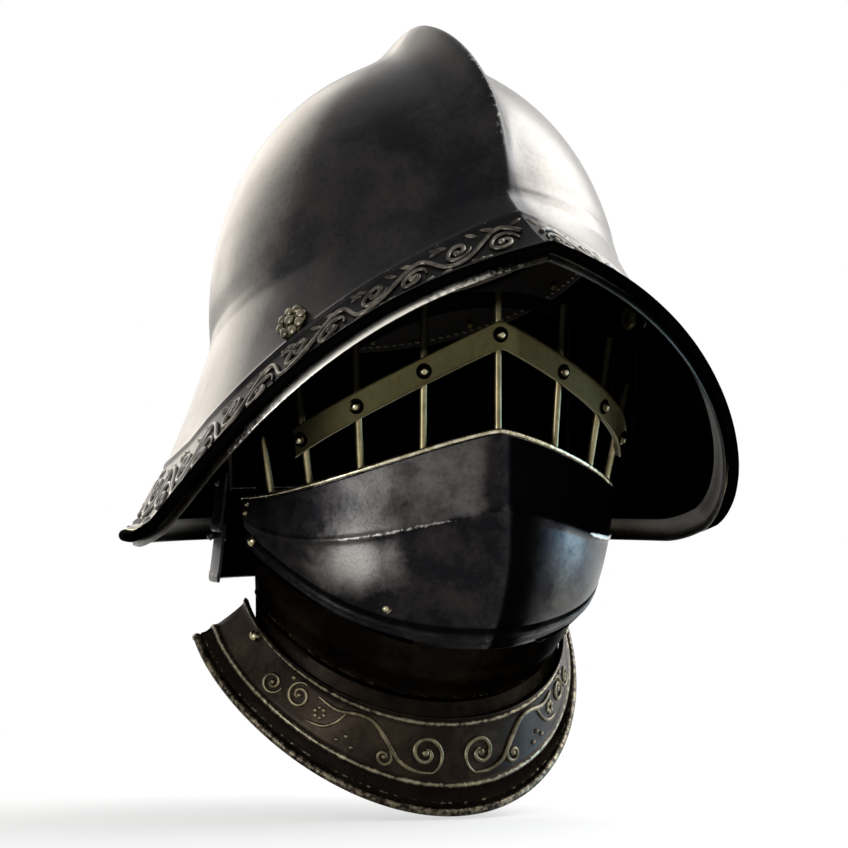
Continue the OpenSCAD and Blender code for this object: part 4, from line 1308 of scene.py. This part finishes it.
@dataclass
class FaceGuard:
    """Keeled bevor with its gilt edge, its barred face and the arms that carry them.

    Attributes:
        sheet_mm: Thickness of the bevor's sheet.
        end: Angle of its rear ends.
        around: Number of rows round the face.
        rows: Number of rows from the hem to the edge.
        bar_r: Radius of the bars.
        seat_mm: Room between the bars and what lies on them.
        strip_mm: Thickness of the cross-band and the brow rail.
        band_end: Angle of the cross-band's ends.
        rail_end: Angle of the brow rail's ends.
    """

    sheet_mm: float = 1.6
    end: float = 88.0
    around: int = 220
    rows: int = 90
    bar_r: float = 1.9
    seat_mm: float = 0.15
    strip_mm: float = 1.4
    band_end: float = 58.9
    rail_end: float = 75.1

    def build(self) -> None:
        """Makes the bevor, its edge and the grille."""
        self.bevor()
        self.trim()
        self.grille()

    def crease(self, angle: float) -> float:
        """Share of the bevor's height at which its upper part meets its lower one in a crease."""
        return 0.36 + 0.10 * sin(abs(angle)) ** 2

    def bevor(self) -> None:
        """Makes the bevor with its crease and the border above its hem."""
        angles = np.linspace(-self.end, self.end, self.around)
        grid = np.zeros((self.around, self.rows, 3))
        relief, wear, depth, pale = (np.zeros((self.around, self.rows)) for _ in range(4))
        for i, a in enumerate(angles):
            top, hem = HELMET.face_edge_z(a), HELMET.face_hem_z(a)
            for j in range(self.rows):
                t = 1 - (j / (self.rows - 1)) ** 1.12
                grid[i, j] = HELMET.face(a, mix(top, hem, t))
                from_hem = (1 - t) * (top - hem)
                fold = (t - self.crease(a)) * (top - hem)
                line = bell(from_hem - 2.6, 0.9) + 0.8 * bell(from_hem - 5.6, 0.8)
                sunk = ease(6.4, 7.6, from_hem) * (1 - ease(10.0, 12.0, from_hem))
                swell = 2.4 * bell(grid[i, j, 2] + 82, 17) * bell(abs(a) - 44, 19)
                relief[i, j] = (0.7 * line - 0.6 * sunk + swell
                                + 0.9 * bell(fold, 1.5) * ease(12, 30, from_hem))
                keel = bell(grid[i, j, 0], 2.0)
                upper = ease(-2.0, 2.0, -fold)
                # Painted sheen: paler metal on the upper part at the wearer's right, on a round spot low on
                # that side, and on the lower part at his left.
                painted_upper_sheen = upper * ease(68, 40, -a) * ease(0, 8, -a)
                sheen_paint = bell(grid[i, j, 2] + 66, 13) * bell(a + 43, 13)
                pale[i, j] = (0.44 * painted_upper_sheen * ease(-62, -24, a) + 0.95 * sheen_paint
                              + 0.3 * ease(12, 28, a) * (1 - upper))
                # Bare metal along the crease: partly wear on the fold, partly a painted highlight where light
                # catches it, strongest on the wearer's left.
                edge = bell(fold, 1.1)
                wear[i, j] = (0.14 * line + 0.2 * keel + 0.5 * edge * ease(62, 40, -a) * ease(4, 14, -a)
                              + 1.1 * edge * ease(30, 42, a) * ease(72, 60, a))
                # Painted shade: the upper part on the wearer's left, a strip beside the keel and the rear of
                # his right side are darkened; only the groove above the hem is a recess.
                shade = ease(0.5, 3.0, a) * (1 - ease(62, 80, a)) * max(upper, 1 - ease(6, 20, a))
                depth[i, j] = max(0.8 * sunk, 0.95 * shade, 0.45 * ease(46, 72, -a))
        piece = Plate("bevor_plate", grid, self.sheet_mm, HANDLED, DARK_AND_SHADE, relief=relief,
                      fields={"wear": wear, "depth": depth, "pale": pale}, rim_wear=0.2).build()
        settle(piece, Bodies.FACE, Slot.STEEL, "bevor")

    def trim(self) -> None:
        """Makes the gilt bead along the bevor's upper edge."""
        lift = np.array([0, 0, HELMET.trim_r + 0.1])
        path = [HELMET.face(a, HELMET.face_edge_z(a), self.sheet_mm / 2) + lift
                for a in np.linspace(-self.end, self.end, 200)]
        piece = tube("bevor_gilt_edge", np.array(path), HELMET.trim_r, BRIGHT, sides=12, wear=0.4)
        settle(piece, Bodies.FACE, Slot.GILT, "bevor_edge_trim")

    def grille(self) -> None:
        """Makes the cross-band, the brow rail, and a painted-shade rim and painted-highlight crown on each
        band rivet.
        """
        reach = self.bar_r + self.seat_mm + self.strip_mm
        angles, band = self.strip(self.band_end, reach, 14.5, self.band_z)
        # Painted light: the band is painted bare and bright near the middle, half as bright on the wearer's
        # left, and dark as shade towards its end on his right.
        held = np.array([0.12 + 0.88 * ease(56, 26, -a) * (1 - 0.55 * ease(2, 6, a)) for a in angles])
        piece = Plate("grille_cross_band", band, self.strip_mm, GILT, GILT, rim_wear=0.2,
                      fields={"wear": np.outer(held, [0.6, 0.2, 0.0, 0.0, 0.0, 0.0, 0.1, 0.4]),
                              "depth": np.tile(1 - held[:, None], (1, 8))}).build()
        settle(piece, Bodies.FACE, Slot.GILT, "cross_band")
        seats = []
        for k in range(-3, 4):
            a = k * (20.4 - 0.5 * abs(k))
            point, way = self.bar(a, self.band_z(a))
            seats.append((point + reach * np.array([sin(a), -cos(a), 0.0]),
                          unit(np.cross([cos(a), sin(a), 0.0], way)), way))
        # A near-black ring under each rivet head stands as painted shade.
        ring = turned([(3.9, -0.3), (4.0, 0.1), (3.7, 0.45), (3.0, 0.3), (2.2, 0.1)], 28)
        settle(scattered("band_rivet_rims", ring, seats, DARK_AND_SHADE), Bodies.FACE, Slot.GILT)
        # A small bright dome on each rivet's top stands as a painted highlight.
        tops = [(point + 2.15 * out, out, way) for point, out, way in seats]
        settle(scattered("band_rivet_crowns", dome(1.55, 0.5, 16), tops, BRIGHT), Bodies.FACE, Slot.GILT)
        _, rail = self.strip(self.rail_end, -self.bar_r - self.seat_mm, 8.0, self.rail_z)
        # The brow rail takes the near-black finish as painted shade under the brim.
        piece = Plate("grille_brow_rail", rail, self.strip_mm, DARK_AND_SHADE, DARK_AND_SHADE, rim_wear=0.0).build()
        settle(piece, Bodies.FACE, Slot.STEEL, "brow_rail")

    def band_z(self, angle: float) -> float:
        """Height of the cross-band's middle."""
        return 47.5 - 0.92 * abs(angle)

    def rail_z(self, angle: float) -> float:
        """Height of the brow rail's middle."""
        return -25 + 90 * max(0.0, cos(min(90, abs(angle) * 1.08))) ** 0.95

    def bar(self, angle: float, z: float) -> tuple[np.ndarray, np.ndarray]:
        """Point of a bar at a height and the direction that the bar runs in."""
        half_w = HELMET.bevor_half_w - self.sheet_mm / 2 - HELMET.trim_r - self.bar_r - 0.2
        foot = plan(half_w, HELMET.grille_front - HELMET.keel_h, 100, HELMET.keel_h, angle, 2.2)
        foot[2] = HELMET.face_edge_z(angle)
        lean = min(12.5, 0.26 * abs(angle))
        way = np.array([sin(angle) * sin(lean), -cos(angle) * sin(lean), cos(lean)])
        return foot + way * (z - foot[2]) / way[2], way

    def strip(self, end: float, reach: float, width: float,
              height: Callable[[float], float]) -> tuple[np.ndarray, np.ndarray]:
        """Outer side of a strip that runs across the bars.

        Args:
            end: Angle of its ends.
            reach: Distance of its outer side in front of the bars' middle.
            width: Width of the strip.
            height: Height of its middle at an angle.

        Returns:
            The angles of its rows and its grid.
        """
        angles, rows = np.linspace(-end, end, 120), []
        for a in angles:
            point, way = self.bar(a, height(a))
            point = point + reach * np.array([sin(a), -cos(a), 0.0])
            rows.append([point + way * width * (t - 0.5) for t in (0, 0.04, 0.1, 0.3, 0.7, 0.9, 0.96, 1.0)])
        return angles, np.array(rows)


@dataclass
class NeckLames:
    """Collar and gorget plate under the bevor.

    Attributes:
        sheet_mm: Thickness of both lames.
        collar_end: Angle of the collar's rear ends.
        gorget_end: Angle of the gorget's rear ends.
        around: Number of rows round the neck.
        roll_mm: Radius of the gorget's rolled edge.
        band_low: Share of the ornament band's lower border.
        band_high: Share of its upper border.
    """

    sheet_mm: float = 1.4
    collar_end: float = 87.0
    gorget_end: float = 94.0
    around: int = 260
    roll_mm: float = 2.2
    band_low: float = 0.74
    band_high: float = 0.07

    def build(self) -> None:
        """Makes the collar, the gorget and the ornament on it."""
        self.collar()
        self.gorget()
        self.ornament()

    def collar_section(self, angle: float) -> np.ndarray:
        """Knots of the collar's section, from its foot in the neck ring to its top inside the bevor."""
        tuck = 2.2 + 1.6 * cos(angle)
        ring, hem, k = HELMET.neck(angle), HELMET.face_hem_z(angle), sin(angle) ** 4
        high = HELMET.face(angle, hem, tuck)
        wall = ring + np.array([0, 0, 8.0])
        return np.array([
            ring - np.array([0, 0, 4 + 8 * k]), wall, (wall + high) / 2 - np.array([0, 0, 2.5]), high,
            HELMET.face(angle, hem + 5 + 6 * k, tuck), HELMET.face(angle, hem + 5.5 + 12 * k, tuck)])

    def collar(self) -> None:
        """Makes the collar with the line where its two lames overlap."""
        marks = [(k, t) for k, count in enumerate((6, 12, 12, 5, 3))
                 for t in np.linspace(0, 1, count, endpoint=False)]
        rows = []
        for a in np.linspace(-self.collar_end, self.collar_end, self.around):
            knots = self.collar_section(a)
            rows.append([mix(knots[k], knots[k + 1], t) for k, t in marks] + [knots[-1]])
        step = np.tile(bell(np.array([k + t for k, t in marks] + [5.0]) - 1.25, 0.10), (len(rows), 1))
        # The collar's finish is painted shade under the bevor.
        piece = Plate("collar_lame_shaped", np.array(rows), self.sheet_mm, SHADED_RUSSET, DARK_AND_SHADE, relief=0.6 * step,
                      fields={"wear": 0.4 * step}, rim_wear=0.3).build()
        settle(piece, Bodies.COLLAR, Slot.RUSSET, "collar_lame")

    def gorget(self) -> None:
        """Makes the gorget plate with the borders of its ornament band, and its rolled edge."""
        shares = [1.0, 0.975, 0.955, 0.935, 0.915, 0.895, 0.87, 0.84, 0.81, *np.linspace(0.79, 0.66, 11),
                  *np.linspace(0.62, 0.18, 12), *np.linspace(0.14, 0.0, 11)]
        angles = np.linspace(-self.gorget_end, self.gorget_end, self.around)
        grid = np.array([[HELMET.gorget(a, s) for s in shares] for a in angles])
        length = np.linalg.norm(grid[:, 0] - grid[:, -1], axis=1)[:, None]
        s = np.array(shares)[None, :]
        low, high = (s - self.band_low) * length, (self.band_high - s) * length
        ridge = bell(low, 1.4) + bell(high, 1.2) + 0.6 * bell((s - 0.935) * length, 1.0)
        sunk = np.clip((np.minimum(-low, -high) - 1) / 2, 0, 1)
        piece = Plate("gorget_plate_embossed", grid, self.sheet_mm, RUSSET, DARK_AND_SHADE, relief=ridge - 0.4 * sunk,
                      fields={"wear": 0.6 * ridge, "depth": 0.7 * (low > 1.5)}, rim_wear=0.0).build()
        settle(piece, Bodies.GORGET, Slot.RUSSET, "gorget_plate")
        path = []
        for a in np.linspace(-self.gorget_end, self.gorget_end, 200):
            edge = HELMET.gorget(a, 1.0)
            path.append(edge + (self.roll_mm - 0.6) * unit(edge - HELMET.gorget(a, 0.8)))
        roll = tube("gorget_rolled_edge", np.array(path), self.roll_mm, RUSSET, sides=14, wear=0.42)
        settle(roll, Bodies.GORGET, Slot.RUSSET, "gorget_roll")

    def ornament(self) -> None:
        """Makes the gorget's scrolls, mirrored about the middle, with a flower and berries on each side."""
        band = RunningBand(HELMET.gorget, lambda a: self.band_high, lambda a: self.band_low, self.gorget_end)
        lines, berries, petals = [], [], []
        for side in (-1, 1):
            coil = volute((15.5, 0.0), 96, 2.0, 10.5, 1.42, 1)
            stem = smooth_path([tuple(coil[-1]), (20.0, -9.6), (29.0, -6.0), (37.0, 2.5), (45.0, 9.0),
                                (54.0, 9.5), (66.0, 6.5), (78.0, 7.5)], 60)
            curl = volute((36.5, -6.2), 120, 4.4, 1.2, 1.2, 1, 30)
            tail = volute((88.0, 2.0), 100, 7.0, 1.4, 1.5, -1, 36)
            twig = smooth_path([(60.0, 8.2), (64.0, 1.0), (70.0, -4.5), (79.0, -6.5)], 24)
            twist = volute((104.0, -2.0), 170, 6.0, 1.4, 1.4, 1, 34)
            for line, girth in ((coil, 1.25), (stem, 1.35), (curl, 1.05), (tail, 1.05), (twig, 0.95),
                                (twist, 0.95)):
                lines.append((band.path(line * [side, 1], -0.1), tapered(len(line), girth)))
            for u, v, size in ((15.5, 0.0, 2.2), (36.5, -6.2, 1.5), (88.0, 2.0, 1.6), (104.0, -2.0, 1.6),
                               (57.0, -3.5, 1.3), (61.0, -7.0, 1.3), (53.0, -7.5, 1.3), (96.0, 7.5, 1.4)):
                berries.append((band.at(u * side, v, -0.2), size))
            center = band.at(74.0 * side, 0.5, -0.2)
            across = np.cross(center[1], center[2])
            for k in range(6):
                ray = cos(k * 60) * center[2] + sin(k * 60) * across
                petals.append((center[0] + 2.6 * ray, center[1], ray))
        places, sizes = zip(*berries)
        for piece in (strokes("gorget_scrolls", lines, RUSSET_WORN),
                      scattered("gorget_berries", dome(1.0, 0.85, 12), places, RUSSET_WORN, sizes),
                      scattered("gorget_flowers", dome(1.35, 0.9, 12), petals, RUSSET_WORN)):
            settle(piece, Bodies.GORGET, Slot.RUSSET)


@dataclass
class NapeGuard:
    """Fixed plate and two lames that cover the nape under the brim.

    Attributes:
        sheet_mm: Thickness of each.
        half_w: Half width of the upper lame.
        height: Height of a lame.
        flare: How much a lame widens downwards, twice over.
        reach: How much further it reaches back than to the sides.
        root_inset: Depth of the fixed plate's root under the skull's outer side.
        around: Number of rows round the nape.
    """

    sheet_mm: float = 1.4
    half_w: float = 99.0
    height: float = 30.0
    flare: float = 7.0
    reach: float = 17.0
    root_inset: float = 4.45
    around: int = 130

    def point(self, angle: float, half_w: float, gap: float, z: float) -> np.ndarray:
        """Point of a lame."""
        return np.array([half_w * sin(angle),
                         HELMET.skull_back - (half_w + self.reach + gap * cos(angle)) * cos(angle), z])

    def build(self) -> None:
        """Makes the three plates."""
        angles = np.linspace(98, 262, self.around)
        inner = self.half_w - self.sheet_mm - 0.6
        lower = self.half_w + self.flare / 2 - self.sheet_mm - 0.9
        rows = []
        for a in angles:
            low = self.point(a, inner, 0, -31.0)
            high = HELMET.skull(a, HELMET.skull_angle(HELMET.root_z(a) + 6), self.root_inset)
            rows.append([mix(low, high, t) for t in np.linspace(0, 1, 14)])
        self.lame("nape_fixed_plate", np.array(rows), Bodies.SKULL, "nape_plate")
        for name, w, gap, z, body, node in (
                ("nape_lame_upper", self.half_w, -1.5, -22.0, Bodies.NAPE_UPPER, "nape_upper_lame"),
                ("nape_lame_lower", lower, 3, -18.0 - self.height, Bodies.NAPE_LOWER, "nape_lower_lame")):
            self.lame(name, np.array([[self.point(a, w + self.flare / 2 * t, gap, z - self.height * t)
                                       for t in np.linspace(1, 0, 16)] for a in angles]), body, node)

    def lame(self, name: str, grid: np.ndarray, body: str, node: str) -> None:
        """Makes one plate with a raised line along its lower edge."""
        line = np.tile(0.5 * bell(np.arange(grid.shape[1]) - 1.6, 0.8), (len(grid), 1))
        piece = Plate(name, grid, self.sheet_mm, BLACKENED, DARK_AND_SHADE, relief=line, fields={"wear": line},
                      rim_wear=0.4).build()
        settle(piece, body, Slot.STEEL, node)


@dataclass
class Lining:
    """Quilted linen crown on a leather band.

    Attributes:
        seat_mm: Distance of the lining's outer side from the skull's outer side.
        leather_mm: Thickness of the leather.
        band_low_mm: Height of the band's foot over the brim's root.
        band_mm: Width of the band.
        padding_mm: Thickness of the quilt.
        gores: Number of gores.
        swell_mm: Most that a point may move while the quilt is stuffed.
    """

    seat_mm: float = 2.1
    leather_mm: float = 2.0
    band_low_mm: float = 10.5
    band_mm: float = 24.0
    padding_mm: float = 9.0
    gores: int = 8
    swell_mm: float = 3.0

    def point(self, angle: float, elevation: float, inset: float) -> np.ndarray:
        """Point of the skull's bowl without its comb."""
        return np.array([
            (HELMET.skull_half_w - inset) * cos(elevation) * sin(angle),
            HELMET.skull_back - (HELMET.skull_half_l - inset) * cos(elevation) * cos(angle),
            HELMET.waist_z + (HELMET.crown_h - inset) * sin(elevation)])

    def elevation(self, angle: float, rise: float) -> float:
        """Elevation on the bowl of a height over the band's foot."""
        return HELMET.skull_angle(HELMET.root_z(angle) + self.band_low_mm + rise)

    def build(self) -> None:
        """Makes the band, its stitches and the quilt."""
        rows = [[self.point(a, self.elevation(a, self.band_mm * t), self.seat_mm + 0.15)
                 for t in np.linspace(0, 1, 10)] for a in np.arange(200) * 1.8]
        band = Plate("lining_leather_band", np.array(rows), self.leather_mm, LEATHER, LEATHER, closed=True,
                     rim_wear=0.0).build()
        settle(band, Bodies.SKULL, Slot.HIDE, "lining_band")
        self.stitches()
        self.quilt()

    def stitches(self) -> None:
        """Makes the row of waxed stitches along the band's foot."""
        radii = np.array([HELMET.skull_half_w, HELMET.skull_half_l, HELMET.crown_h])
        inset = self.seat_mm + 0.15 + self.leather_mm
        places = []
        for a in np.arange(150) * 2.4:
            e = self.elevation(a, 2.5)
            p, q = self.point(a, e, inset), self.point(a + 0.5, e, inset)
            inwards = -unit((p - [0, HELMET.skull_back, HELMET.waist_z]) / radii ** 2)
            places.append((p, inwards, unit(q - p)))
        body, faces = turned([(0.1, -1.3), (0.4, -1.0), (0.45, 0.0), (0.4, 1.0), (0.1, 1.3)], 8)
        lying = body[:, [2, 1, 0]] * [1, -1, 1] + [0, 0, 0.2]
        settle(scattered("lining_stitches", (lying, faces), places, LINEN), Bodies.SKULL, Slot.CLOTH)

    def quilt(self) -> None:
        """Makes the quilted crown, pulled in along its seams."""
        n, rows = 192, 40
        outer, inner = np.zeros((n, rows, 3)), np.zeros((n, rows, 3))
        for i in range(n):
            a = i * 360 / n
            e0, bulge = self.elevation(a, self.band_mm + 2), math.sqrt(abs(sin(a * self.gores / 2)))
            for j in range(rows):
                s = j / (rows - 1)
                e = mix(e0, 88.0, s)
                puff = self.padding_mm * (0.2 + 0.6 * bulge * sin(mix(14, 158, s)))
                outer[i, j] = self.point(a, e, self.seat_mm + 0.3)
                inner[i, j] = self.point(a, e, self.seat_mm + 0.3 + puff)
        crowns = [side[:, -1].mean(0) for side in (outer, inner)]
        points = np.vstack([outer.reshape(-1, 3), inner.reshape(-1, 3), *crowns])
        k, faces = n * rows, []
        for i in range(n):
            a, b = i * rows, (i + 1) % n * rows
            for j in range(rows - 1):
                faces.append((a + j, b + j, b + j + 1, a + j + 1))
                faces.append((k + a + j + 1, k + b + j + 1, k + b + j, k + a + j))
            faces.append((b, a, k + a, k + b))
            faces.append((a + rows - 1, b + rows - 1, 2 * k))
            faces.append((k + b + rows - 1, k + a + rows - 1, 2 * k + 1))
        held = np.zeros((2, n, rows))
        held[0] = 1.0
        held[1, :, 0] = held[1, :, -1] = 1.0
        held[1, ::n // self.gores] = 1.0
        flat = finish_mesh("lining_quilt_flat", points, faces, LINEN)
        piece = self.stuffed(flat, "lining_quilt_padded", np.append(held.ravel(), [1.0, 1.0]))
        settle(piece, Bodies.SKULL, Slot.CLOTH, "lining_quilt")

    def stuffed(self, flat: Object, name: str, held: np.ndarray) -> Object:
        """Blows the quilt up between its seams as cloth, and keeps what that gives.

        Args:
            flat: The quilt before it is stuffed; it is removed.
            name: Name of the stuffed quilt.
            held: 1 for each point that a seam or the skull holds.

        Returns:
            The stuffed quilt, once subdivided.
        """
        piece = put_up(name, flat.data.copy())
        bpy.data.objects.remove(flat)
        start = places_of(piece.data)
        group = piece.vertex_groups.new(name="held")
        group.add([int(k) for k in np.flatnonzero(held)], 1.0, "REPLACE")
        cloth = piece.modifiers.new("stuffing", "CLOTH")
        cloth.settings.vertex_group_mass = group.name
        cloth.settings.use_pressure = True
        cloth.settings.uniform_pressure_force = 4.0
        cloth.settings.effector_weights.gravity = 0.0
        cloth.point_cache.frame_start, cloth.point_cache.frame_end = 1, 20
        for step in range(1, 21):
            bpy.context.scene.frame_set(step)
        blown = kept(piece)
        piece.modifiers.clear()
        move = places_of(blown) - start
        bpy.data.meshes.remove(blown)
        size = np.linalg.norm(move, axis=1, keepdims=True)
        move *= np.minimum(1.0, self.swell_mm * MM / np.maximum(size, 1e-9))
        piece.data.vertices.foreach_set("co", (start + move).ravel())
        LOG.info("%s: swelled by up to %.1f mm", name, size.max() / MM)
        bpy.context.scene.frame_set(1)
        finer = piece.modifiers.new("finer", "SUBSURF")
        finer.levels = finer.render_levels = 1
        fine = kept(piece)
        piece.modifiers.clear()
        piece.vertex_groups.clear()
        piece.data = fine
        return piece


@dataclass
class Fittings:
    """CAD pieces that keep their own shape and get their finish here."""

    # The arms take the near-black finish as painted shade under the brim.
    finishes: dict[str, Finish] = field(default_factory=lambda: {
        "pivot_lugs": BLACKENED, "pivot_bolts": BLACKENED, "pivot_nuts": GILT, "lining_rivets": GILT,
        "grille_bars": BARS, "band_rivets": RIVET, "visor_arms": DARK_AND_SHADE, "bevor_arms": DARK_AND_SHADE,
        "bevor_arm_rivets": BRIGHT, "turning_pin": BRIGHT, "collar_rivets": BRIGHT, "gorget_rivets": BRIGHT,
        "nape_upper_rivets": BLACKENED, "nape_lower_rivets": BLACKENED})

    def build(self) -> None:
        """Dresses the CAD pieces."""
        for node, finish in self.finishes.items():
            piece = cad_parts[node]
            piece.data.materials.clear()
            piece.data.materials.append(finish.material())
            LOG.info("%s: dressed in %s", node, finish.name)


@dataclass
class Studio:
    """Pale floor, soft lamps and the camera at the photograph's place.

    Attributes:
        distance_mm: Distance of the camera.
        azimuth: How far the camera stands to the wearer's right of straight ahead.
        lens: Focal length for a 36 mm sensor.
        aim_mm: How far the camera stands up, and to the side, of the line through the origin.
    """

    distance_mm: float = 2500.0
    azimuth: float = 24.0
    lens: float = 205.9
    aim_mm: float = 3.093

    def build(self) -> None:
        """Makes the floor, the world, the lamps and the camera."""
        bpy.context.scene.view_settings.view_transform = "Standard"
        self.floor()
        self.world()
        self.lamps()
        self.camera()

    def camera(self) -> None:
        """Puts up the camera."""
        across = np.array([cos(self.azimuth), -sin(self.azimuth), 0.0])
        ahead = np.array([sin(self.azimuth), cos(self.azimuth), 0.0])
        eye = across * self.aim_mm + np.array([0, 0, self.aim_mm]) - ahead * self.distance_mm
        data = bpy.data.cameras.new("camera")
        data.lens, data.sensor_width, data.clip_end = self.lens, 36.0, 50.0
        made = put_up("camera", data)
        made.location = eye * MM
        made.rotation_euler = (math.pi / 2, 0.0, -math.radians(self.azimuth))
        bpy.context.scene.camera = made

    def floor(self) -> None:
        """Makes the pale floor, which stays white to the camera and keeps the shadow."""
        low = CAD_BOX[0][2] - 0.001
        mesh = bpy.data.meshes.new("floor")
        mesh.from_pydata([(-4, -4, low), (4, -4, low), (4, 4, low), (-4, 4, low)], [], [(0, 1, 2, 3)])
        made = put_up("floor", mesh)
        finish = bpy.data.materials.new("floor_pale_paint")
        finish.use_nodes = True
        tree = finish.node_tree
        tree.nodes.clear()
        path = add(tree, "ShaderNodeLightPath")
        paint = add(tree, "ShaderNodeBsdfDiffuse", {"Color": "#f4f3f1"})
        glow = add(tree, "ShaderNodeEmission", {"Color": "#ffffff", "Strength": 1.0})
        place = add(tree, "ShaderNodeTexCoord").outputs["Object"]
        far = add(tree, "ShaderNodeVectorMath", {0: place}, operation="LENGTH").outputs["Value"]
        far = add(tree, RANGE, {
            "Value": far, "From Min": 0.25, "From Max": 0.7, "To Min": 0.55, "To Max": 1.0})
        seen = add(tree, MATH, {0: path.outputs["Is Camera Ray"], 1: far}, operation="MULTIPLY")
        mixed = add(tree, "ShaderNodeMixShader", {0: seen, 1: paint, 2: glow})
        add(tree, "ShaderNodeOutputMaterial", {"Surface": mixed})
        mesh.materials.append(finish)

    def world(self) -> None:
        """Lights the room softly; the camera and reflections see it white."""
        world = bpy.data.worlds.new("studio")
        bpy.context.scene.world = world
        world.use_nodes = True
        tree = world.node_tree
        tree.nodes.clear()
        rays = add(tree, "ShaderNodeLightPath").outputs
        strength = add(tree, MATH, {0: rays["Is Glossy Ray"], 1: 0.9}, operation="MULTIPLY")
        for least in (rays["Is Camera Ray"], rays["Is Transmission Ray"], 0.5):
            strength = add(tree, MATH, {0: strength, 1: least}, operation="MAXIMUM")
        sky = add(tree, "ShaderNodeBackground", {"Color": "#ffffff", "Strength": strength})
        add(tree, "ShaderNodeOutputWorld", {"Surface": sky})

    def lamps(self) -> None:
        """Hangs the soft boxes."""
        for name, azimuth, height, distance, size, power, color in (
                ("softbox_left", 94, 38, 2.0, 1.9, 62.0, "#ffffff"),
                ("softbox_rear_right", -172, 22, 2.0, 1.25, 12.0, "#fff6ea"),
                ("key_low_right", -60, -5, 1.0, 0.34, 4.4, "#f6faff"),
                ("fill_low_left", 78, -4, 1.1, 0.4, 9.0, "#8cc0e2")):
            data = bpy.data.lights.new(name, "AREA")
            data.energy, data.size, data.color = power, size, srgb(color)[:3]
            made = put_up(name, data)
            spot = distance * np.array([sin(azimuth) * cos(height), -cos(azimuth) * cos(height), sin(height)])
            made.location = spot
            made.rotation_euler = Vector(spot).to_track_quat("Z", "Y").to_euler()


def main() -> None:
    """Builds the helmet on its CAD frame and the studio round it."""
    logging.basicConfig(level=logging.INFO, format="%(message)s")
    for part in (Studio, CombedSkull, PointedBrim, FaceGuard, NeckLames, NapeGuard, Lining, Fittings):
        LOG.info("building %s", part.__name__)
        part().build()


if __name__ == "__main__":
    main()
